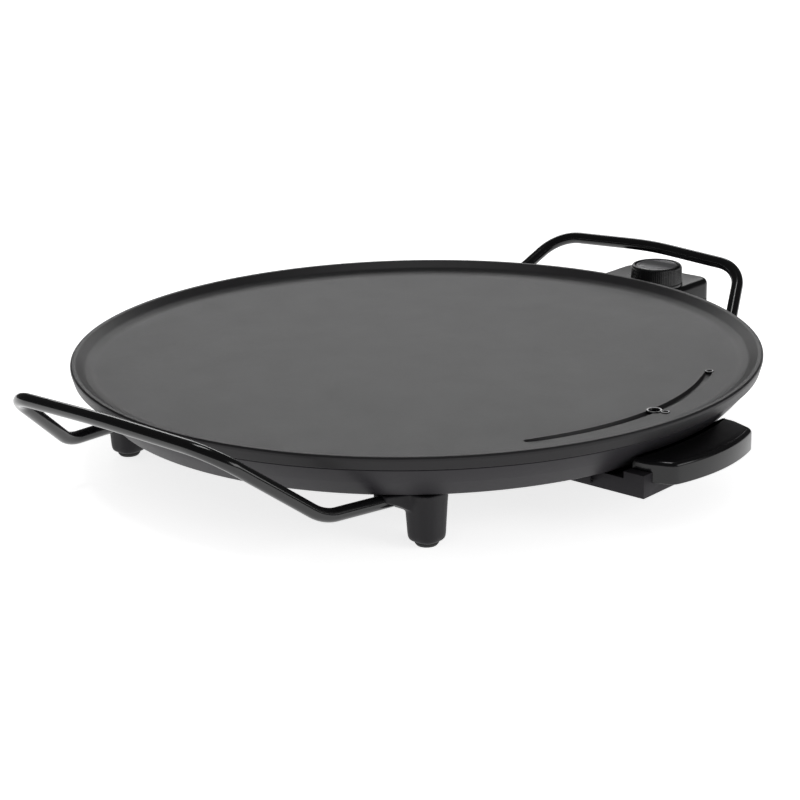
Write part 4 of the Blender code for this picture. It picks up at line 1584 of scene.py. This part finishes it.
@dataclass
class Thermostat(Assembly):
    """The plug-in thermostat's two shells, lamp and cord inlet."""

    body: Body = Body.THERMOSTAT
    low: tuple[float, float] = (0.2438, -0.0420)
    high: tuple[float, float] = (0.3090, 0.0360)
    corner: float = 0.0110
    wall: float = 0.0020
    bottom: float = 0.0305
    top: float = 0.0602
    split: float = 0.0445
    gap: float = 0.0003
    edge: float = 0.0042
    seam: float = 0.0004
    lamp: tuple[float, float, float] = (0.3055, -0.018, 0.0510)
    inlet: tuple[float, float, float] = (0.3040, 0.020, 0.0375)
    screws: tuple[tuple[float, float], ...] = ((0.2930, -0.0270), (0.2930, 0.0290))
    lamp_bore: float = 0.0034
    inlet_bore: float = 0.0056
    screw_bore: float = 0.0019
    shaft_bore: float = 0.0035
    shaft_reach: tuple[float, float] = (0.050, 0.065)
    end_reach: tuple[float, float] = (0.300, 0.320)
    window_low: tuple[float, float, float] = (0.230, -0.0238, 0.0425)
    window_high: tuple[float, float, float] = (0.2480, 0.0238, 0.0548)
    inner_edge: float = 0.0024

    def build(self) -> None:
        """Builds and hands over the shells and the small parts of the case."""
        outline = rounded_rectangle(self.low, self.high, self.corner)
        upper = block("case_top", outline, rounded_levels(
            self.split + self.gap, self.top, self.seam, self.edge, 7))
        lower = block("case_bottom", outline, rounded_levels(
            self.bottom, self.split, self.edge, self.seam, 7))
        for shell in (upper, lower):
            combine(shell, [self.hollow()])
            combine(shell, [cuboid("window", self.window_low, self.window_high)])
        low, high = self.shaft_reach
        shaft_hole = drill(above(KNOB_CENTRE, low), above(KNOB_CENTRE, high),
                           self.shaft_bore, sides=24)
        combine(upper, [shaft_hole, self.end_hole(self.lamp, self.lamp_bore)])
        combine(lower, [self.end_hole(self.inlet, self.inlet_bore)]
                + [drill((x, y, 0.025), (x, y, 0.035), self.screw_bore, sides=20)
                   for x, y in self.screws])
        self.deliver(upper, CASE_GLOSS, "controller_top_shell")
        self.deliver(lower, CASE_GLOSS, "controller_bottom_shell")
        self.deliver(self.lens(), LENS, "pilot_lamp_lens")
        self.deliver(self.bushing(), RUBBER, "cord_inlet_bushing")

    def end_hole(self, place: tuple[float, float, float], radius: float) -> bpy.types.Object:
        """Makes the tool for a hole through the far end wall, round a fitting's place."""
        inner, outer = self.end_reach
        return drill((inner, *place[1:]), (outer, *place[1:]), radius)

    def hollow(self) -> bpy.types.Object:
        """Makes the tool that hollows out the case."""
        outline = rounded_rectangle(
            (self.low[0] + self.wall, self.low[1] + self.wall),
            (self.high[0] - self.wall, self.high[1] - self.wall), self.corner - self.wall)
        return block("hollow", outline, rounded_levels(
            self.bottom + self.wall, self.top - self.wall, self.inner_edge,
            self.inner_edge, 4))

    def lens(self) -> bpy.types.Object:
        """Builds the pilot lamp's domed lens."""
        profile = rounded_profile([
            (0.0, 0.0, 0.0), (0.0030, 0.0, 0.0002), (0.0030, 0.0036, 0.0006),
            (0.0018, 0.0047, 0.0014), (0.0, 0.0047, 0.0)], 6)
        return turned("lamp_lens", profile, Vector(self.lamp), 40,
                      turn=Matrix.Rotation(math.pi / 2, 4, "Y"))

    def bushing(self) -> bpy.types.Object:
        """Builds the grooved ring that lines the cord inlet."""
        profile = rounded_profile([
            (0.0034, 0.0, 0.0), (0.0052, 0.0, 0.0003), (0.0052, 0.0052, 0.0002),
            (0.0060, 0.0055, 0.0004), (0.0060, 0.0070, 0.0004), (0.0050, 0.0074, 0.0002),
            (0.0048, 0.0085, 0.0004), (0.0036, 0.0085, 0.0004), (0.0034, 0.0078, 0.0)], 4)
        return turned("inlet_bushing", profile, Vector(self.inlet), 40,
                      closed=True, turn=Matrix.Rotation(math.pi / 2, 4, "Y"))


@dataclass
class Dial(Assembly):
    """The ribbed knob with its recessed grey disc and pointer."""

    body: Body = Body.DIAL
    ribs: int = 84
    base: float = 0.0605
    top: float = 0.0762
    radius: float = 0.0193
    pointer_turn: float = -40.0

    def build(self) -> None:
        """Builds and hands over the knob, its disc and the pointer."""
        self.deliver(self.knob(), KNOB_GLOSS, "knob")
        disc = turned("dial_disc", rounded_profile([
            (0.0, self.top - 0.0004, 0.0), (0.0122, self.top - 0.0004, 0.0004),
            (0.0126, self.top - 0.0006, 0.0003), (0.0132, self.top - 0.0006, 0.0003),
            (0.0136, self.top - 0.0004, 0.0004), (0.0158, self.top - 0.0004, 0.0003),
            (0.0158, self.top - 0.0010, 0.0002), (0.0, self.top - 0.0010, 0.0)], 4),
            KNOB_CENTRE, 96)
        self.deliver(disc, DIAL, "knob_insert")
        self.deliver(self.pointer(), MARK)

    def knob(self) -> bpy.types.Object:
        """Builds the turned body of the knob with its ring of ribs.

        Returns:
            The new piece.
        """
        profile = rounded_profile([
            (0.0, self.top - 0.0012, 0.0), (0.0162, self.top - 0.0012, 0.0002),
            (0.0165, self.top - 0.0002, 0.0003), (0.0170, self.top, 0.0004),
            (0.0184, self.top, 0.0008), (self.radius, self.top - 0.0012, 0.0008),
            (self.radius + 0.0004, self.base + 0.0022, 0.0004),
            (self.radius + 0.0010, self.base + 0.0018, 0.0003),
            (self.radius + 0.0010, self.base, 0.0003), (0.0034, self.base, 0.0003),
            (0.0034, 0.0690, 0.0), (0.0, 0.0690, 0.0)], 5)
        body = turned("dial_knob", profile, KNOB_CENTRE, 168)
        rib = self.rib()
        made = Trees.run("ring_of_ribs", body, "dial_knob_ribbed", {
            "Rib": rib, "Count": self.ribs, "Radius": self.radius,
            "Centre": AXIS + KNOB_CENTRE, "Material": KNOB_GLOSS.material()})
        bpy.data.objects.remove(rib)
        return made

    def rib(self) -> bpy.types.Object:
        """Makes the one rib that the ring repeats, standing at the origin.

        Returns:
            The rib.
        """
        half = math.pi * self.radius / self.ribs * 0.62
        bm = bmesh.new()
        rings = []
        for z, out in ((self.base + 0.0019, 0.00055), (self.base + 0.0030, 0.00062),
                       (self.top - 0.0026, 0.00042), (self.top - 0.0012, 0.00010)):
            rings.append([bm.verts.new((x, y, z)) for x, y in (
                (-0.0004, -half), (out * 0.7, -half * 0.62), (out, 0.0),
                (out * 0.7, half * 0.62), (-0.0004, half))])
        loft(bm, rings)
        return as_piece("rib", bm, place=False)

    def pointer(self) -> bpy.types.Object:
        """Builds the light pointer line set into the disc.

        Returns:
            The new piece.
        """
        outline = rounded_rectangle((-0.0150, -0.0004), (-0.0098, 0.0004), 0.00038, 5)
        line = block("dial_pointer", outline,
                     rounded_levels(self.top - 0.0007, self.top - 0.00025, 0.0, 0.0001, 3),
                     place=False)
        turn = Matrix.Rotation(math.radians(self.pointer_turn), 4, "Z")
        line.data.transform(Matrix.Translation(AXIS + KNOB_CENTRE) @ turn)
        return line


@dataclass(frozen=True)
class Screws:
    """One family of screws: the nodes it stands for and how they face."""

    nodes: tuple[str, ...]
    body: Body
    facing: tuple[float, float, float]
    head: float
    shank: float


@dataclass
class Fasteners(Assembly):
    """Every screw of the griddle, one piece for each body."""

    corners: tuple[str, ...] = ("front_left", "front_right", "rear_left", "rear_right")
    first_spin: float = 0.7
    next_spin: float = 1.9

    def families(self) -> list[Screws]:
        """Lists the families of screws.

        Returns:
            The families.
        """
        down, up, inward = (0.0, 0.0, -1.0), (0.0, 0.0, 1.0), (0.0, 1.0, 0.0)
        return [
            Screws(tuple("housing_screw_%d" % i for i in range(1, 5)), Body.BASE, down,
                   0.0036, 0.0018),
            Screws(tuple("foot_screw_" + c for c in self.corners), Body.BASE, down, 0.0037,
                   0.0018),
            Screws(("rail_screw_left", "rail_screw_right"), Body.BASE, down, 0.0036, 0.0018),
            Screws(tuple("clamp_screw_%d" % i for i in range(1, 5)), Body.BASE, down, 0.0030,
                   0.0014),
            Screws(("shroud_screw_front", "shroud_screw_rear"), Body.BASE, up, 0.0031,
                   0.0018),
            Screws(("tray_screw_left", "tray_screw_right"), Body.TRAY, inward, 0.0022, 0.0014),
            Screws(("controller_screw_front", "controller_screw_rear"), Body.THERMOSTAT, down,
                   0.0030, 0.0015)]

    def build(self) -> None:
        """Builds and hands over the screws of each body."""
        head, shank = self.head(), self.shank()
        for body in (Body.BASE, Body.TRAY, Body.THERMOSTAT):
            families = [f for f in self.families() if f.body is body]
            points = self.points(families)
            made = Trees.run("fasteners", points, "screws_" + body.value, {
                "Head": head, "Shank": shank, "Material": ZINC.material()})
            self.deliver(made, ZINC, *[n for f in families for n in f.nodes], body=body)
        for tool in (head, shank):
            bpy.data.objects.remove(tool)

    def points(self, families: Sequence[Screws]) -> bpy.types.Object:
        """Makes one point for each screw, with its turn and sizes as attributes.

        Args:
            families: The families of one body.

        Returns:
            The object with the points.
        """
        places, turns, heads, shanks = [], [], [], []
        for family in families:
            facing = Vector(family.facing)
            for index, node in enumerate(family.nodes):
                low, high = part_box(node)
                middle, half = (low + high) / 2, (high - low) / 2
                length = 2 * abs(facing.dot(half))
                places.append(middle + facing * (length / 2))
                spin = Matrix.Rotation(self.first_spin + self.next_spin * index, 4,
                                       "Z").to_quaternion()
                turn = facing.to_track_quat("Z", "Y") @ spin
                turns.append(Vector(turn.to_euler()))
                heads.append(Vector((family.head,) * 3))
                shanks.append(Vector((family.shank, family.shank, length)))
        mesh = bpy.data.meshes.new("screw_points")
        mesh.from_pydata(places, [], [])
        for name, values in (("turn", turns), ("head_size", heads), ("shank_size", shanks)):
            store = mesh.attributes.new(name, "FLOAT_VECTOR", "POINT")
            for slot, value in zip(store.data, values):
                slot.vector = value
        return linked("screw_points", mesh)

    def head(self) -> bpy.types.Object:
        """Makes a pan head of radius 1 with a cross recess, its top at height 0.

        Returns:
            The head.
        """
        profile = rounded_profile([
            (0.0, -0.02, 0.0), (0.50, -0.02, 0.2), (0.90, -0.16, 0.3), (1.0, -0.38, 0.12),
            (1.0, -0.61, 0.0), (0.0, -0.61, 0.0)], 4)
        head = turned("screw_head", profile, sides=28, place=False)
        arms = []
        for turn in (0.0, math.pi / 2):
            bm = bmesh.new()
            bmesh.ops.create_cube(bm, size=1.0)
            for v in bm.verts:
                deep = v.co.z < 0
                v.co = Vector((v.co.x * (0.55 if deep else 1.12),
                               v.co.y * (0.14 if deep else 0.24), -0.42 if deep else 0.1))
            bm.transform(Matrix.Rotation(turn, 4, "Z"))
            arms.append(as_piece("arm", bm, place=False))
        combine(head, [arms[0]])
        return combine(head, [arms[1]])

    def shank(self) -> bpy.types.Object:
        """Makes a shank of radius 1 and length 1 below the origin.

        Returns:
            The shank.
        """
        turns = 12
        profile = [(0.0, -0.05), (0.86, -0.05)]
        for i in range(turns):
            z = -0.08 - 0.86 * i / turns
            profile += [(0.80, z), (1.0, z - 0.43 / turns)]
        profile += [(0.80, -0.94), (0.45, -1.0), (0.0, -1.0)]
        return turned("screw_shank", profile, sides=14, place=False)


@dataclass
class Internals(Assembly):
    """The fittings that are seen only through gaps: rounded copies and dressed nodes."""

    copies: dict[str, tuple[Finish, Body, float]] = field(default_factory=lambda: {
        "inlet_shroud": (CERAMIC, Body.BASE, 0.0004),
        "contact_block": (CERAMIC, Body.THERMOSTAT, 0.0004),
        "thermostat_switch": (CERAMIC, Body.THERMOSTAT, 0.0006),
        "contact_sleeve_front": (BRASS, Body.THERMOSTAT, 0.0002),
        "contact_sleeve_rear": (BRASS, Body.THERMOSTAT, 0.0002),
        "terminal_pin_front": (ZINC, Body.BASE, 0.0006),
        "terminal_pin_rear": (ZINC, Body.BASE, 0.0006),
        "probe": (ZINC, Body.THERMOSTAT, 0.0006)})

    def build(self) -> None:
        """Hands over the rounded copies and dresses every node that stays."""
        for node, (finish, body, width) in self.copies.items():
            self.deliver(softened_copy(node + "_finished", node, width), finish, node,
                         body=body)
        for name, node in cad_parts.items():
            if node.hide_render:
                continue
            for slot in node.material_slots:
                slot.material = CARRIED[slot.material.name.split(".")[0]].material()
            LOG.info("%s: frame node dressed", name)


# ---- studio --------------------------------------------------------------------------------
@dataclass(frozen=True)
class Softbox:
    """One soft rectangular light aimed at a point of the object."""

    name: str
    place: tuple[float, float, float]
    aim: tuple[float, float, float]
    size: tuple[float, float]
    power: float

    def build(self) -> None:
        """Hangs the light."""
        data = bpy.data.lights.new(self.name, "AREA")
        data.shape = "RECTANGLE"
        data.size, data.size_y = self.size
        data.energy = self.power
        light = linked(self.name, data)
        light.location = self.place
        way = Vector(self.aim) - Vector(self.place)
        light.rotation_euler = way.to_track_quat("-Z", "Y").to_euler()


@dataclass
class Studio:
    """The pale floor, the soft lights and the camera."""

    floor_size: float = 60.0
    azimuth: float = -48.43
    elevation: float = 17.52
    roll: float = -1.15
    distance: float = 1.557
    lens: float = 99.54
    sensor: float = 36.0
    shift_y: float = -0.0155
    target_right: float = -0.0118
    target_height: float = 0.0382
    room_light: float = 0.34
    table_glow: float = 0.78
    room_gloss: float = 0.06
    paper: float = 0.93
    paper_roughness: float = 0.9
    softboxes: tuple[Softbox, ...] = (
        Softbox("overhead", (0.05, 0.15, 1.9), (-0.1, -0.1, 0.05), (0.8, 0.4), 6.0),
        Softbox("fill_front", (0.6, -2.6, 1.1), (0.0, -0.1, 0.04), (1.6, 0.9), 13.0),
        Softbox("backdrop", (2.3, 2.0, 1.35), (0.0, 0.0, 0.05), (2.1, 1.0), 16.5))

    def build(self) -> None:
        """Builds the floor, lights, world and camera."""
        self.floor()
        for box in self.softboxes:
            box.build()
        self.room()
        self.camera()
        bpy.context.scene.view_settings.view_transform = "Standard"

    def floor(self) -> None:
        """Lays the pale floor."""
        mesh = bpy.data.meshes.new("floor")
        h = self.floor_size / 2
        mesh.from_pydata([(-h, -h, 0), (h, -h, 0), (h, h, 0), (-h, h, 0)], [], [(0, 1, 2, 3)])
        floor = linked("floor", mesh)
        material = bpy.data.materials.new("floor_paper")
        material.use_nodes = True
        shader = material.node_tree.nodes["Principled BSDF"]
        shader.inputs["Base Color"].default_value = (*[self.paper] * 3, 1.0)
        shader.inputs["Roughness"].default_value = self.paper_roughness
        shader.inputs["Specular IOR Level"].default_value = 0.1
        shader.inputs["Emission Color"].default_value = (1.0, 1.0, 1.0, 1.0)
        shader.inputs["Emission Strength"].default_value = self.table_glow
        mesh.materials.append(material)

    def room(self) -> None:
        """Lights the room: white around the floor and dimmer in reflections."""
        world = bpy.data.worlds.new("studio_room")
        bpy.context.scene.world = world
        world.use_nodes = True
        nodes, links = world.node_tree.nodes, world.node_tree.links
        white = nodes["Background"]
        white.inputs["Color"].default_value = (1.0, 1.0, 1.0, 1.0)
        white.inputs["Strength"].default_value = self.room_light
        dim = nodes.new("ShaderNodeBackground")
        dim.inputs["Color"].default_value = (1.0, 1.0, 1.0, 1.0)
        dim.inputs["Strength"].default_value = self.room_gloss
        path = nodes.new("ShaderNodeLightPath")
        mix = nodes.new("ShaderNodeMixShader")
        links.new(path.outputs["Is Glossy Ray"], mix.inputs[0])
        links.new(white.outputs[0], mix.inputs[1])
        links.new(dim.outputs[0], mix.inputs[2])
        links.new(mix.outputs[0], nodes["World Output"].inputs["Surface"])

    def camera(self) -> None:
        """Sets up the camera."""
        a, e, r = (math.radians(v) for v in (self.azimuth, self.elevation, self.roll))
        back = Vector((math.sin(a) * math.cos(e), -math.cos(a) * math.cos(e), math.sin(e)))
        level = Vector((math.cos(a), math.sin(a), 0.0))
        upright = back.cross(level)
        right = level * math.cos(r) + upright * math.sin(r)
        up = upright * math.cos(r) - level * math.sin(r)
        target = AXIS + Vector((0, 0, self.target_height)) + level * self.target_right
        data = bpy.data.cameras.new("camera")
        data.lens = self.lens
        data.sensor_width = self.sensor
        data.shift_y = self.shift_y
        data.clip_start, data.clip_end = 0.05, 200.0
        camera = linked("camera", data)
        camera.matrix_world = (Matrix.Translation(target + back * self.distance)
                               @ Matrix((right, up, back)).transposed().to_4x4())
        bpy.context.scene.camera = camera


def main() -> None:
    """Builds every sub-assembly in order, then the studio."""
    logging.basicConfig(level=logging.INFO, format="%(name)s: %(message)s")
    for assembly in (CookingPlate(), HousingShell(), Feet(), Handles(), GreaseTray(),
                     Thermostat(), Dial(), Fasteners(), Internals()):
        LOG.info("building %s", type(assembly).__name__)
        assembly.build()
    Studio().build()


if __name__ == "__main__":
    main()
